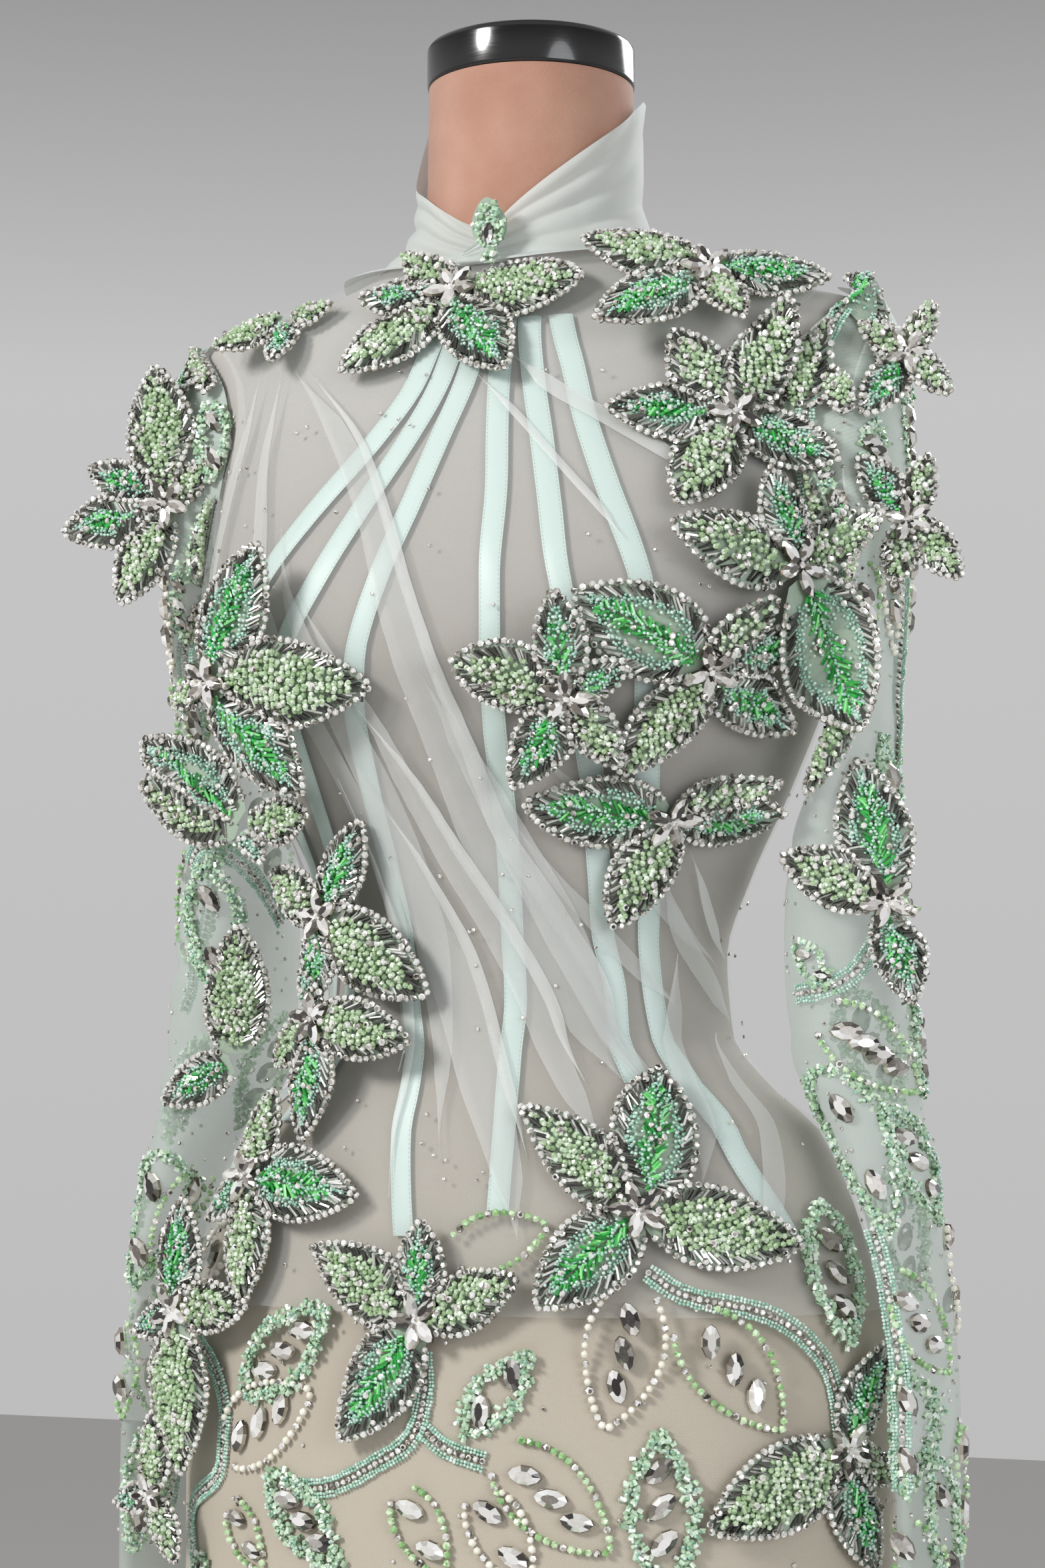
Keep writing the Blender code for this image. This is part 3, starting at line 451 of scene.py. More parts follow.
def body_panel(name, heights, angles, out, finish, margin=0.0):
    """Cloth panel on the body, cut round the armhole, with its points on the armhole's edge."""
    grid_a, grid_z = np.meshgrid(angles, heights)
    middle_a = (grid_a[1:, 1:] + grid_a[:-1, :-1]) / 2
    middle_z = (grid_z[1:, 1:] + grid_z[:-1, :-1]) / 2
    kept = armhole_share(body_point(middle_a, middle_z)[..., 1], middle_z, margin) >= 1
    beside_kept, beside_cut = np.zeros(grid_a.shape, bool), np.zeros(grid_a.shape, bool)
    for dr in (0, 1):
        for dc in (0, 1):
            rows, columns = kept.shape
            beside_kept[dr:dr + rows, dc:dc + columns] |= kept
            beside_cut[dr:dr + rows, dc:dc + columns] |= ~kept
    edge = beside_kept & beside_cut
    y = body_point(grid_a, grid_z)[..., 1]
    share = armhole_share(y, grid_z, margin)
    moved_z = np.where(edge, ARMHOLE_HEIGHT + (grid_z - ARMHOLE_HEIGHT) / share, grid_z)
    moved_a = np.where(edge, np.sign(grid_a) * angle_at_depth(moved_z, y / share), grid_a)
    points = layer_point(moved_a, moved_z, out(moved_a, moved_z))
    return mesh_piece(name, points.reshape(-1, 3), grid_faces(len(heights), len(angles), kept), [finish],
                      measures=cloth_measures(points).reshape(-1, 2))


def bands(made, vector, pitch, angle):
    """Evenly spaced bands over the cloth's own measures, for threads; 0 to 1."""
    turned_way = add_node(made, "ShaderNodeMapping", {"Rotation": (0.0, 0.0, math.radians(angle))})
    link(made, vector, turned_way.inputs["Vector"])
    waves = add_node(made, "ShaderNodeTexWave", {"Scale": 2 * math.pi / (20 * pitch), "Distortion": 0.0})
    link(made, turned_way.outputs["Vector"], waves.inputs["Vector"])
    return waves.outputs["Fac"]


def product(made, one, other, operation="MULTIPLY"):
    """Product of two values, or another plain sum of them."""
    node = add_node(made, "ShaderNodeMath", operation=operation)
    link(made, one, node.inputs[0])
    if isinstance(other, float):
        node.inputs[1].default_value = other
    else:
        link(made, other, node.inputs[1])
    return node.outputs["Value"]


def blended(made, factor, one, other):
    """Colour between two, either of which may be a plain colour."""
    node = add_node(made, "ShaderNodeMix", data_type="RGBA")
    if isinstance(factor, float):
        node.inputs["Factor"].default_value = factor
    else:
        link(made, factor, node.inputs["Factor"])
    for socket, colour in ((node.inputs[6], one), (node.inputs[7], other)):
        if isinstance(colour, tuple):
            socket.default_value = (*colour, 1.0)
        else:
            link(made, colour, socket)
    return node.outputs[2]


def crossed_threads(made, pitch, slant):
    """Threads that cross over the cloth's own measures; 1 on a thread."""
    cloth = add_node(made, "ShaderNodeUVMap", uv_map="cloth")
    one = bands(made, cloth.outputs["UV"], pitch, slant)
    other = bands(made, cloth.outputs["UV"], pitch, -slant)
    return product(made, one, other, "MAXIMUM")


def net_finish():
    """Beige-grey net over a lining: diagonal cells, greyer over the chest, warmer on the skirt, and darker
    from the waist to under the bust, where the darkening is painted shade over the net's own grey.
    """
    made, shader = new_finish("beige_net", dye(196, 188, 174), 0.75, sheen_weight=0.25, sheen_roughness=0.4)
    place = add_node(made, "ShaderNodeTexCoord")
    axes = add_node(made, "ShaderNodeSeparateXYZ")
    link(made, place.outputs["Object"], axes.inputs["Vector"])
    level = add_node(made, "ShaderNodeMapRange", {"From Min": 0.85, "From Max": 1.42})
    link(made, axes.outputs["Z"], level.inputs["Value"])
    # Colour by height: the net's own greys and beiges, with painted shade in the darker band from the waist
    # to under the bust.
    colour_and_shade_by_height = ramp(made, level.outputs["Result"],
                [(0.0, dye(192, 183, 168)), (0.20, dye(182, 174, 161)), (0.42, dye(154, 147, 139)),
                 (0.70, dye(160, 154, 149)), (1.0, dye(192, 191, 190))])
    threads = crossed_threads(made, NET_CELL, NET_SLANT)
    cells = product(made, threads, 0.30)
    shaded = blended(made, cells, colour_and_shade_by_height, dye(150, 140, 128))
    mottle = add_node(made, "ShaderNodeTexNoise", {"Scale": 14.0, "Detail": 3.0})
    link(made, place.outputs["Object"], mottle.inputs["Vector"])
    patchy = product(made, mottle.outputs["Fac"], 0.22)
    link(made, blended(made, patchy, shaded, dye(206, 198, 186)), shader.inputs["Base Color"])
    bumped(made, shader, threads, 0.25, 0.0003)
    return made


net = net_finish()
net_heights = np.concatenate([[DRESS_HEM, DRESS_HEM + 0.004], np.arange(0.04, SHOULDER_LOW, NET_LEVEL_STEP),
                              np.arange(SHOULDER_LOW, NET_TOP, SHOULDER_STEP), [NET_TOP]])


def net_out(angle, height):
    """Distance of the net from the form; the hem's turned edge is a little proud."""
    hem = 0.0006 * np.exp(-((height - DRESS_HEM - 0.012) / 0.006) ** 2)
    return NET_OUT + skirt_rise(angle, height) + hem


Panel = namedtuple("Panel", "node first last columns flat area")
for row in (Panel("dress_front", -90, 90, 73, (0.60, 1.46), 0.742),
            Panel("dress_back_left", 90, 180, 37, (0.31, 1.46), 0.36),
            Panel("dress_back_right", -180, -90, 37, (0.31, 1.46), 0.36)):
    panel_angles = np.linspace(row.first, row.last, row.columns)
    panel = body_panel("net_" + row.node, net_heights, panel_angles, net_out, net)
    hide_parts(row.node)
    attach(panel, "root")

# Back closure
# Narrow flap of the same net, doubled, down the centre back.  It hides the fastening and is top-stitched
# along both edges.
CLOSURE_OUT = 0.0033
CLOSURE_WIDTH = 0.009
CLOSURE_TOP = 1.4425
CLOSURE_STEP = 0.008
CLOSURE_CROWN = 0.0004
CLOSURE_STITCHES = 0.0036
DRAPE_HEM = 0.925
STEEPEST = 2.2
BAND_COLUMNS = 5
STITCH_PITCH = 0.0022
STITCH_HALF = 0.00014
TWILL_PITCH = 0.0006


def band_on_body(name, angles, heights, widths, out, crown, finish):
    """Strip of cloth whose middle runs through given angles and heights, with a width in metres at each."""
    angles, heights, widths = (np.asarray(row, float) for row in (angles, heights, widths))
    lean = np.gradient(angles) / np.gradient(heights)
    degree = np.linalg.norm(body_point(angles + 0.5, heights) - body_point(angles - 0.5, heights), axis=-1)
    slope = np.linalg.norm(body_point(angles + lean * 0.002, heights + 0.002)
                           - body_point(angles - lean * 0.002, heights - 0.002), axis=-1) / 0.004
    half = widths / 2 * np.minimum(slope, STEEPEST) / degree
    shares = np.linspace(-1, 1, BAND_COLUMNS)
    grid_a = angles[:, None] + half[:, None] * shares
    grid_z = np.broadcast_to(heights[:, None], grid_a.shape)
    raised = out(grid_a, grid_z) + crown * (1 - shares ** 2)
    points = layer_point(grid_a, grid_z, raised)
    steps = np.linalg.norm(np.diff(points[:, BAND_COLUMNS // 2], axis=0), axis=-1)
    run = np.concatenate([[0], np.cumsum(steps)])
    measures = np.stack([widths[:, None] / 2 * shares, np.broadcast_to(run[:, None], grid_a.shape)], -1)
    return mesh_piece(name, points.reshape(-1, 3), grid_faces(len(heights), BAND_COLUMNS), [finish],
                      measures=measures.reshape(-1, 2))


def stitched_finish(name, colour, shadow, edge, roughness, sheen, thread):
    """Cloth with a row of small stitches along both edges; edge is the stitches' distance from the middle."""
    made, shader = new_finish(name, colour, roughness, sheen_weight=sheen, sheen_roughness=0.3)
    cloth = add_node(made, "ShaderNodeUVMap", uv_map="cloth")
    axes = add_node(made, "ShaderNodeSeparateXYZ")
    link(made, cloth.outputs["UV"], axes.inputs["Vector"])
    away = add_node(made, "ShaderNodeMath", operation="ABSOLUTE")
    link(made, axes.outputs["X"], away.inputs[0])
    from_row = product(made, away.outputs["Value"], -edge, "ADD")
    near = add_node(made, "ShaderNodeMath", operation="ABSOLUTE")
    link(made, from_row, near.inputs[0])
    on_row = add_node(made, "ShaderNodeMapRange", {"From Min": 2 * STITCH_HALF, "From Max": STITCH_HALF})
    link(made, near.outputs["Value"], on_row.inputs["Value"])
    gaps = bands(made, cloth.outputs["UV"], STITCH_PITCH, 90)
    stitch = add_node(made, "ShaderNodeMath", {1: 0.35}, operation="GREATER_THAN")
    link(made, gaps, stitch.inputs[0])
    row = product(made, on_row.outputs["Result"], stitch.outputs["Value"])
    twill = bands(made, cloth.outputs["UV"], TWILL_PITCH, 35)
    weave = blended(made, product(made, twill, 0.35), colour, shadow)
    link(made, blended(made, row, weave, thread), shader.inputs["Base Color"])
    height = product(made, product(made, row, -1.0), product(made, twill, 0.2), "ADD")
    bumped(made, shader, height, 0.35, 0.0003)
    return made


closure_finish = stitched_finish("closure_net", dye(184, 177, 168), dye(158, 150, 140), CLOSURE_STITCHES,
                                 0.75, 0.2, dye(208, 202, 192))
closure_heights = np.arange(DRAPE_HEM, CLOSURE_TOP, CLOSURE_STEP)
closure_middle = np.full(len(closure_heights), 180.0)
closure_widths = np.full(len(closure_heights), CLOSURE_WIDTH)
closure = band_on_body("closure_flap", closure_middle, closure_heights, closure_widths,
                       lambda angle, height: CLOSURE_OUT + 0 * angle, CLOSURE_CROWN, closure_finish)
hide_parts("back_closure")
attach(closure, "root")

# Satin tapes
# Six narrow tapes of pale mint satin, each stitched flat over a bone along both edges.  They start together
# under the flower at the neck, fan out over the bust and run straight down past the waist.
TAPE_OUT = 0.0042
TAPE_WIDTH = 0.0108
TAPE_TOP = 1.416
TAPE_ROWS = 64
TAPE_CROWN = 0.0005
TAPE_STITCHES = 0.0046
TapeRow = namedtuple("TapeRow", "height right_side right_bust right_centre left_centre left_bust left_side")
TAPES = [
    TapeRow(0.962, -60, -46, -9, 7, 40, 61),
    TapeRow(1.010, -69, -46, -12, 8.5, 40, 54),
    TapeRow(1.045, -68, -46, -14.5, 11, 41, 55),
    TapeRow(1.076, -64, -46, -18, 13, 41, 53),
    TapeRow(1.110, -60, -44, -20.5, 12, 37, 51),
    TapeRow(1.160, -55, -40, -21, 10.5, 31, 43),
    TapeRow(1.210, -50, -36, -19.5, 9, 26, 38),
    TapeRow(1.245, -44, -31, -16, 9, 23, 35.5),
    TapeRow(1.280, -35, -23, -11.5, 8.5, 20, 32.5),
    TapeRow(1.320, -25.5, -16, -7, 8, 17, 27),
    TapeRow(1.355, -16, -9.5, -3.5, 6.5, 14, 22),
    TapeRow(1.385, -9.5, -5, -0.5, 5.3, 11, 18),
    TapeRow(1.405, -7.5, -3.5, 0.5, 4.8, 9.2, 15),
    TapeRow(1.420, -6.0, -2.5, 1.0, 4.4, 8.2, 13),
]
TAPE_ENDS = {"right_side": 0.962, "right_bust": 1.015, "right_centre": 0.962,
             "left_centre": 0.975, "left_bust": 1.035, "left_side": 0.962}

satin = stitched_finish("mint_satin", dye(214, 232, 228), dye(186, 210, 204), TAPE_STITCHES, 0.38, 0.5,
                        dye(168, 196, 188))
for column, name in enumerate(TapeRow._fields[1:], start=1):
    tape_heights = np.linspace(TAPE_ENDS[name], TAPE_TOP, TAPE_ROWS)
    tape_middle = read_curve(TAPES, column, tape_heights)
    tape = band_on_body("satin_tape_" + name, tape_middle, tape_heights, np.full(TAPE_ROWS, TAPE_WIDTH),
                        lambda angle, height: TAPE_OUT + 0 * angle, TAPE_CROWN, satin)
    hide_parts("tape_" + name)
    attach(tape, "root")

# Draped tulle
# One length of very fine mint-white tulle, caught at the neck and drawn slantwise over the front, so that it
# falls in flat doubled folds.  It ends in a raw edge at the hips.
DRAPE_OUT = 0.0060
DRAPE_BACK = 0.0100
DRAPE_STEP = 0.006
DRAPE_COLUMNS = 91
FOLD_STEPS = 20
RIPPLE = 0.0005
TULLE_CELL = 0.0011
TULLE_SLANT = 32
TULLE_SHADE = 0.72
DOUBLED_TAPER = 7
DOUBLED_CROWN = 0.0006
DOUBLED_LEVEL = 0.0003
Fold = namedtuple("Fold", "start middle end rise half_width")
FOLDS = [
    Fold((-33, 1.397), (-8, 1.262), (30, 1.045), 0.0020, 0.012),
    Fold((-27, 1.300), (-9, 1.190), (17, 1.030), 0.0018, 0.011),
    Fold((-14, 1.200), (-4, 1.110), (6, 1.000), 0.0014, 0.010),
    Fold((58, 1.150), (62, 1.090), (48, 1.012), 0.0020, 0.010),
    Fold((70, 1.140), (76, 1.080), (62, 1.010), 0.0018, 0.010),
    Fold((3, 1.374), (19, 1.354), (34, 1.335), 0.0012, 0.009),
]
# Doubled folds: angle and height of the middle and the half width in mm at each place, and how dense it is
DOUBLED_FOLDS = [
    ([(-34, 1.397, 3), (-22, 1.354, 6), (-12.5, 1.306, 8), (-6.5, 1.255, 9), (-1, 1.206, 11), (6, 1.155, 12),
      (18, 1.116, 12), (31, 1.073, 11), (37, 1.036, 7)], 1),
    ([(-31, 1.397, 1), (-18, 1.352, 2), (-9, 1.300, 3), (-3, 1.255, 3), (3, 1.208, 4), (10, 1.160, 5),
      (23, 1.122, 5), (36, 1.085, 4), (41, 1.050, 2)], 2),
    ([(-25, 1.275, 1), (-19, 1.240, 3), (-14, 1.213, 4), (-10, 1.185, 6), (-2, 1.146, 7), (9, 1.110, 8),
      (19, 1.073, 8), (24, 1.035, 6), (26, 1.000, 3)], 1),
    ([(-17, 1.222, 1), (-9, 1.190, 2), (0, 1.150, 3), (12, 1.112, 3), (23, 1.074, 3), (28, 1.035, 2)], 2),
    ([(-22, 1.200, 1), (-18, 1.165, 6), (-13, 1.130, 9), (-7, 1.098, 11), (0, 1.066, 12), (5, 1.035, 12),
      (9, 0.996, 8), (11, 0.960, 4)], 1),
    ([(-18, 1.176, 1), (-9, 1.140, 2), (0, 1.104, 3), (6, 1.073, 3), (10, 1.040, 3), (13, 1.000, 2)], 2),
    ([(2, 1.384, 1), (10, 1.361, 2), (17, 1.339, 2), (25, 1.313, 2), (30, 1.294, 1)], 2),
    ([(8, 1.392, 2), (15, 1.376, 4), (24, 1.360, 4), (34, 1.342, 4), (42, 1.326, 2)], 2),
    ([(12, 1.165, 1), (22, 1.138, 3), (34, 1.116, 4), (46, 1.094, 4), (60, 1.072, 2)], 1),
    ([(11, 1.146, 1), (23, 1.108, 4), (32, 1.080, 5), (41, 1.048, 5), (46, 1.012, 3)], 1),
    ([(-37, 1.402, 0.4), (-40, 1.355, 3), (-35, 1.300, 5), (-30, 1.240, 6), (-24, 1.170, 6), (-20, 1.100, 5),
      (-17, 1.040, 3)], 1),
    ([(50, 1.140, 2), (60, 1.112, 5), (72, 1.086, 6), (85, 1.064, 4)], 1),
    ([(56, 1.152, 1), (70, 1.122, 3), (84, 1.098, 3)], 2),
    ([(60, 1.100, 2), (57, 1.060, 5), (50, 1.020, 6), (44, 0.985, 3)], 1),
    ([(74, 1.060, 2), (66, 1.020, 5), (60, 0.985, 6), (54, 0.952, 3)], 1),
    ([(-74, 1.150, 2), (-66, 1.110, 5), (-62, 1.060, 5), (-66, 1.010, 3)], 1),
    ([(-86, 1.180, 2), (-80, 1.130, 4), (-78, 1.080, 4), (-82, 1.030, 2)], 1),
    ([(-31, 1.310, 0.4), (-25, 1.255, 5), (-20, 1.205, 9), (-15, 1.150, 11), (-10, 1.100, 9), (-6, 1.050, 5),
      (-3, 1.000, 0.4)], 1),
    ([(-4, 1.240, 0.4), (4, 1.195, 6), (14, 1.150, 9), (26, 1.110, 10), (36, 1.070, 6), (43, 1.030, 0.4)], 1),
    ([(-27, 1.190, 0.4), (-23, 1.130, 2), (-18, 1.080, 3), (-14, 1.030, 2), (-12, 0.980, 0.4)], 2),
    ([(14, 1.205, 0.4), (30, 1.170, 4), (44, 1.140, 5), (60, 1.115, 4), (78, 1.093, 0.4)], 1),
    ([(-43, 1.402, 0.4), (-49, 1.355, 4), (-50, 1.310, 5), (-47, 1.260, 4), (-42, 1.212, 0.4)], 1),
]


def fold_rise(angle, height):
    """How far the largest folds lift the tulle at a place."""
    here = body_point(angle, height)
    lift = np.zeros(here.shape[:-1])
    t = np.arange(FOLD_STEPS + 1) / FOLD_STEPS
    for fold in FOLDS:
        line_a, line_z = ((1 - t) ** 2 * first + 2 * t * (1 - t) * middle + t * t * last
                          for first, middle, last in zip(fold.start, fold.middle, fold.end))
        far = np.linalg.norm(body_point(line_a, line_z) - here[..., None, :], axis=-1)
        ends_soft = np.sin(math.pi * (0.08 + 0.84 * t[np.argmin(far, -1)]))
        lift = lift + fold.rise * ends_soft * np.exp(-(far.min(-1) / fold.half_width) ** 2)
    return lift


def drape_out(angle, height):
    """Distance of the tulle from the form, with the large folds and the light rippling between them."""
    slanting, crossing = np.radians(angle * 5 + height * 900), np.radians(height * 1700 - angle * 2)
    return DRAPE_OUT + fold_rise(angle, height) + RIPPLE * np.sin(slanting) * np.sin(crossing)


def tulle_finish(name, colour, alpha):
    """Sheer tulle with a fine diagonal mesh."""
    made, shader = new_finish(name, colour, 0.65, alpha=alpha, sheen_weight=0.3, sheen_roughness=0.5)
    mesh_lines = crossed_threads(made, TULLE_CELL, TULLE_SLANT)
    shaded = blended(made, product(made, mesh_lines, 0.5), colour, tuple(TULLE_SHADE * v for v in colour))
    link(made, shaded, shader.inputs["Base Color"])
    bumped(made, shader, mesh_lines, 0.2, 0.0002)
    return made


def line_through(rows, count):
    """Smooth line through rows of values, at evenly spaced places along it."""
    rows = np.asarray(rows, float)
    knots = np.concatenate([2 * rows[:1] - rows[1:2], rows, 2 * rows[-1:] - rows[-2:-1]])
    t = np.linspace(0, len(rows) - 1, count)
    i = np.minimum(t.astype(int), len(rows) - 2)
    f = (t - i)[:, None]
    a, b, c, d = (knots[i + k] for k in range(4))
    curved = (2 * a - 5 * b + 4 * c - d) * f ** 2 + (3 * b - a - 3 * c + d) * f ** 3
    return 0.5 * (2 * b + (c - a) * f + curved)


single_tulle = tulle_finish("mint_tulle_single", dye(222, 226, 225), 0.21)
doubled_tulle = tulle_finish("mint_tulle_doubled", dye(234, 237, 236), 0.34)
folded_tulle = tulle_finish("mint_tulle_folded", dye(242, 245, 244), 0.50)
drape_heights = np.concatenate([np.arange(DRAPE_HEM, SHOULDER_LOW, DRAPE_STEP),
                                np.arange(SHOULDER_LOW, NECK_SEAM - 0.002, SHOULDER_STEP),
                                [NECK_SEAM - 0.001]])
drape = body_panel("draped_tulle_front", drape_heights, np.linspace(-90, 90, DRAPE_COLUMNS), drape_out,
                   single_tulle, DRAPE_BACK)


def doubled_fold(name, row, dense, level):
    """Flat doubled fold that lies on the tulle, tapered to nothing at both ends."""
    line = line_through(row, 8 * len(row))
    taper = np.minimum(1.0, np.minimum(np.arange(len(line)), np.arange(len(line))[::-1]) / DOUBLED_TAPER)
    angles, heights, half = line[:, 0], line[:, 1], np.maximum(line[:, 2] * taper, 0.15) / 1000
    middle = layer_point(angles, heights, drape_out(angles, heights) + level)
    along = unit(np.gradient(middle, axis=0))
    normal = unit(layer_point(angles, heights, 0.01) - layer_point(angles, heights, 0.0))
    side = np.cross(normal, along)
    shares = np.linspace(-1, 1, BAND_COLUMNS)
    rise = DOUBLED_CROWN * (1 - shares ** 2)
    points = (middle[:, None] + side[:, None] * (half[:, None] * shares)[..., None]
              + normal[:, None] * rise[None, :, None])
    return mesh_piece(name, points.reshape(-1, 3), grid_faces(len(line), BAND_COLUMNS),
                      [folded_tulle if dense == 2 else doubled_tulle],
                      measures=cloth_measures(points).reshape(-1, 2))


doubled = [doubled_fold("tulle_fold_%02d" % k, row, dense, DOUBLED_LEVEL + DOUBLED_LEVEL * (k % 4))
           for k, (row, dense) in enumerate(DOUBLED_FOLDS)]
with bpy.context.temp_override(active_object=drape, selected_editable_objects=[drape] + doubled):
    bpy.ops.object.join()
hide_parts("draped_tulle")
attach(drape, "root")

# Collar
# Two bands of the tulle, folded lengthwise into soft pleats and wrapped round the neck.  They cross in a V at
# the centre front, the left one on top, climb towards the nape and are closed at the centre back.
COLLAR_LOW = 1.4475
COLLAR_FRONT = 1.466
COLLAR_CLIMB = 0.080
COLLAR_SIDE = 98.0
COLLAR_LEFT_CURVE = 0.85
# Share of the climb that the right band's top edge has made at each angle from the centre front
COLLAR_RIGHT_RISE = [(0.0, 0.0), (20.0, 0.13), (45.0, 0.32), (69.0, 0.47), (84.0, 0.68), (98.0, 1.0)]
COLLAR_OUT = 0.0018
COLLAR_ROWS = 44
COLLAR_COLUMNS = 110
COLLAR_END = 179.6
COLLAR_PAST_LEFT = 9.0
COLLAR_PAST_RIGHT = 7.0
COLLAR_DIP = 0.010
COLLAR_OVER = 0.0024
COLLAR_OVER_END = 42.0
COLLAR_OVER_FADE = 26.0
COLLAR_BEHIND = 60.0
COLLAR_BEHIND_FADE = 60.0
COLLAR_PRESSED = 0.06
COLLAR_FLARE = 0.0030
COLLAR_ROLL_TALL = 0.005
COLLAR_PLEATS = 4.4
COLLAR_PLEAT = 0.0022
COLLAR_ROLL = 0.0052
COLLAR_ROLL_END = 88.0
COLLAR_ROLL_FADE = 22.0


def collar_top(side, way):
    """Height of a band's top edge; way is the angle from the centre front to its own side."""
    if side > 0:
        climbed = np.clip(way / COLLAR_SIDE, 0.0, 1.0) ** COLLAR_LEFT_CURVE
    else:
        climbed = read_curve(COLLAR_RIGHT_RISE, 1, way)
    return COLLAR_FRONT + COLLAR_CLIMB * climbed


def collar_band(side, name, finish, past):
    """One wrapped band: pleats run along it, draw together where it crosses the other and soften behind."""
    rows, columns = COLLAR_ROWS, COLLAR_COLUMNS
    angles = np.linspace(-side * past, side * COLLAR_END, columns)
    way = side * angles
    grid_a = np.broadcast_to(angles, (rows, columns))
    share = np.broadcast_to(np.linspace(0, 1, rows)[:, None], (rows, columns))
    top = collar_top(side, way) - COLLAR_DIP * np.clip(-way / past, 0, 1)
    grid_z = COLLAR_LOW + share * (top - COLLAR_LOW)
    over = np.clip((COLLAR_OVER_END - way) / COLLAR_OVER_FADE, 0, 1) * COLLAR_OVER * (side > 0)
    over_tulle = np.clip((COLLAR_ROLL_END - way) / COLLAR_ROLL_FADE, 0, 1)
    roll = COLLAR_ROLL * over_tulle * np.exp(-((grid_z - COLLAR_LOW) / COLLAR_ROLL_TALL) ** 2)
    flare = COLLAR_FLARE * share * np.minimum(np.abs(way) / 90.0, 1.0)
    behind = np.clip((way - COLLAR_BEHIND) / COLLAR_BEHIND_FADE, 0, 1)
    phase = share * COLLAR_PLEATS + 0.5 * np.sin(np.radians(grid_a * 1.3))
    phase = phase + 0.25 * np.sin(np.radians(grid_a * 3.1 + 40))
    phase = phase + behind * (0.55 * share * np.sin(np.radians(grid_a * 2.3)) - 1.3 * share ** 2)
    soft = 1 - behind * (0.35 + 0.30 * np.sin(np.radians(grid_a * 5.0) + 7.0 * share))
    drawn = 1 - 0.4 * np.exp(-(way / 20.0) ** 2)
    pleat = COLLAR_PLEAT * np.abs(np.sin(math.pi * phase)) * drawn * soft
    pressed = (1 - np.clip(share / COLLAR_PRESSED, 0, 1)) * (1 - over_tulle)
    points = layer_point(grid_a, grid_z, COLLAR_OUT + over + flare + roll + pleat * (1 - pressed))
    return mesh_piece(name, points.reshape(-1, 3), grid_faces(rows, columns, flip=side < 0), [finish],
                      measures=cloth_measures(points).reshape(-1, 2))


collar_tulle = tulle_finish("collar_tulle", dye(226, 234, 231), 0.74)
collars = {"collar_left": collar_band(1, "wrapped_collar_left", collar_tulle, COLLAR_PAST_LEFT),
           "collar_right": collar_band(-1, "wrapped_collar_right", collar_tulle, COLLAR_PAST_RIGHT)}
for node, made in collars.items():
    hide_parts(node)
    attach(made, "root")

# Sleeves
# Long sleeves of sheer mint net, each cut in one piece with its seam towards the body and set into the
# armhole.  They hang empty, a little crushed at the elbow, and end in a narrow rolled edge.
SleeveRing = namedtuple("SleeveRing", "outer_x outer_z inner_x inner_z half_depth inset")
SLEEVE = [
    SleeveRing(0.1885, 1.4310, 0.1780, 1.2750, 0.047, 0.019),
    SleeveRing(0.1985, 1.4050, 0.1790, 1.2650, 0.048, 0.012),
    SleeveRing(0.2000, 1.3680, 0.1780, 1.2510, 0.048, 0.006),
    SleeveRing(0.1980, 1.3280, 0.1755, 1.2370, 0.048, 0.002),
    SleeveRing(0.1940, 1.2800, 0.1710, 1.2180, 0.047, 0.000),
    SleeveRing(0.1900, 1.2200, 0.1620, 1.1930, 0.047, 0.000),
    SleeveRing(0.1910, 1.1600, 0.1430, 1.1550, 0.044, 0.000),
    SleeveRing(0.1965, 1.1000, 0.1380, 1.1000, 0.042, 0.000),
    SleeveRing(0.2010, 1.0500, 0.1420, 1.0500, 0.042, 0.000),
    SleeveRing(0.2080, 1.0000, 0.1675, 1.0000, 0.044, 0.000),
    SleeveRing(0.2140, 0.9400, 0.1895, 0.9400, 0.046, 0.000),
    SleeveRing(0.2180, 0.8800, 0.1960, 0.8800, 0.047, 0.000),
    SleeveRing(0.2190, 0.8150, 0.1965, 0.8150, 0.047, 0.000),
    SleeveRing(0.2190, 0.7450, 0.1965, 0.7450, 0.047, 0.000),
]
SLEEVE_LAP = 0.0022
SLEEVE_SEAM_OUT = 0.0040
SLEEVE_SMOOTH = 0.12
SLEEVE_OUT = 0.0006
SLEEVE_COLUMNS = 73
SLEEVE_ROWS = 130
LAP_STEPS = (0.25, 0.50, 0.75)
LAP_PUFF = 0.0012
SLEEVE_CELL = 0.0013
SLEEVE_SLANT = 60
SLEEVE_HANG = 0.0007
CREASE_TALL = 0.0095
CREASE_RIDGE = 0.6
CREASE_RIDGE_BELOW = 1.9
# Creases of the empty sleeve: share of the way down, angle round it, length round in degrees, depth, slant
Crease = namedtuple("Crease", "down turn long depth slant")
SLEEVE_CREASES = [
    Crease(0.30, 70, 60, 0.0014, 0.020),
    Crease(0.36, 120, 70, 0.0017, -0.015),
    Crease(0.42, 60, 55, 0.0016, 0.025),
    Crease(0.48, 95, 80, 0.0019, -0.018),
    Crease(0.53, 40, 50, 0.0015, 0.020),
    Crease(0.57, 110, 60, 0.0017, 0.012),
    Crease(0.62, 70, 70, 0.0018, -0.022),
    Crease(0.70, 100, 50, 0.0012, 0.018),
    Crease(0.80, 60, 45, 0.0010, -0.014),
    Crease(0.34, -80, 60, 0.0015, 0.020),
    Crease(0.45, -110, 75, 0.0018, -0.016),
    Crease(0.52, -60, 60, 0.0016, 0.022),
    Crease(0.60, -100, 70, 0.0017, -0.020),
    Crease(0.74, -70, 50, 0.0012, 0.014),
    Crease(0.24, -20, 48, 0.0016, 0.026),
    Crease(0.395, 10, 52, 0.0021, -0.022),
    Crease(0.47, -12, 58, 0.0023, 0.018),
    Crease(0.555, 20, 50, 0.0020, -0.026),
    Crease(0.655, -25, 55, 0.0018, 0.024),
    Crease(0.86, 15, 46, 0.0012, -0.016),
]


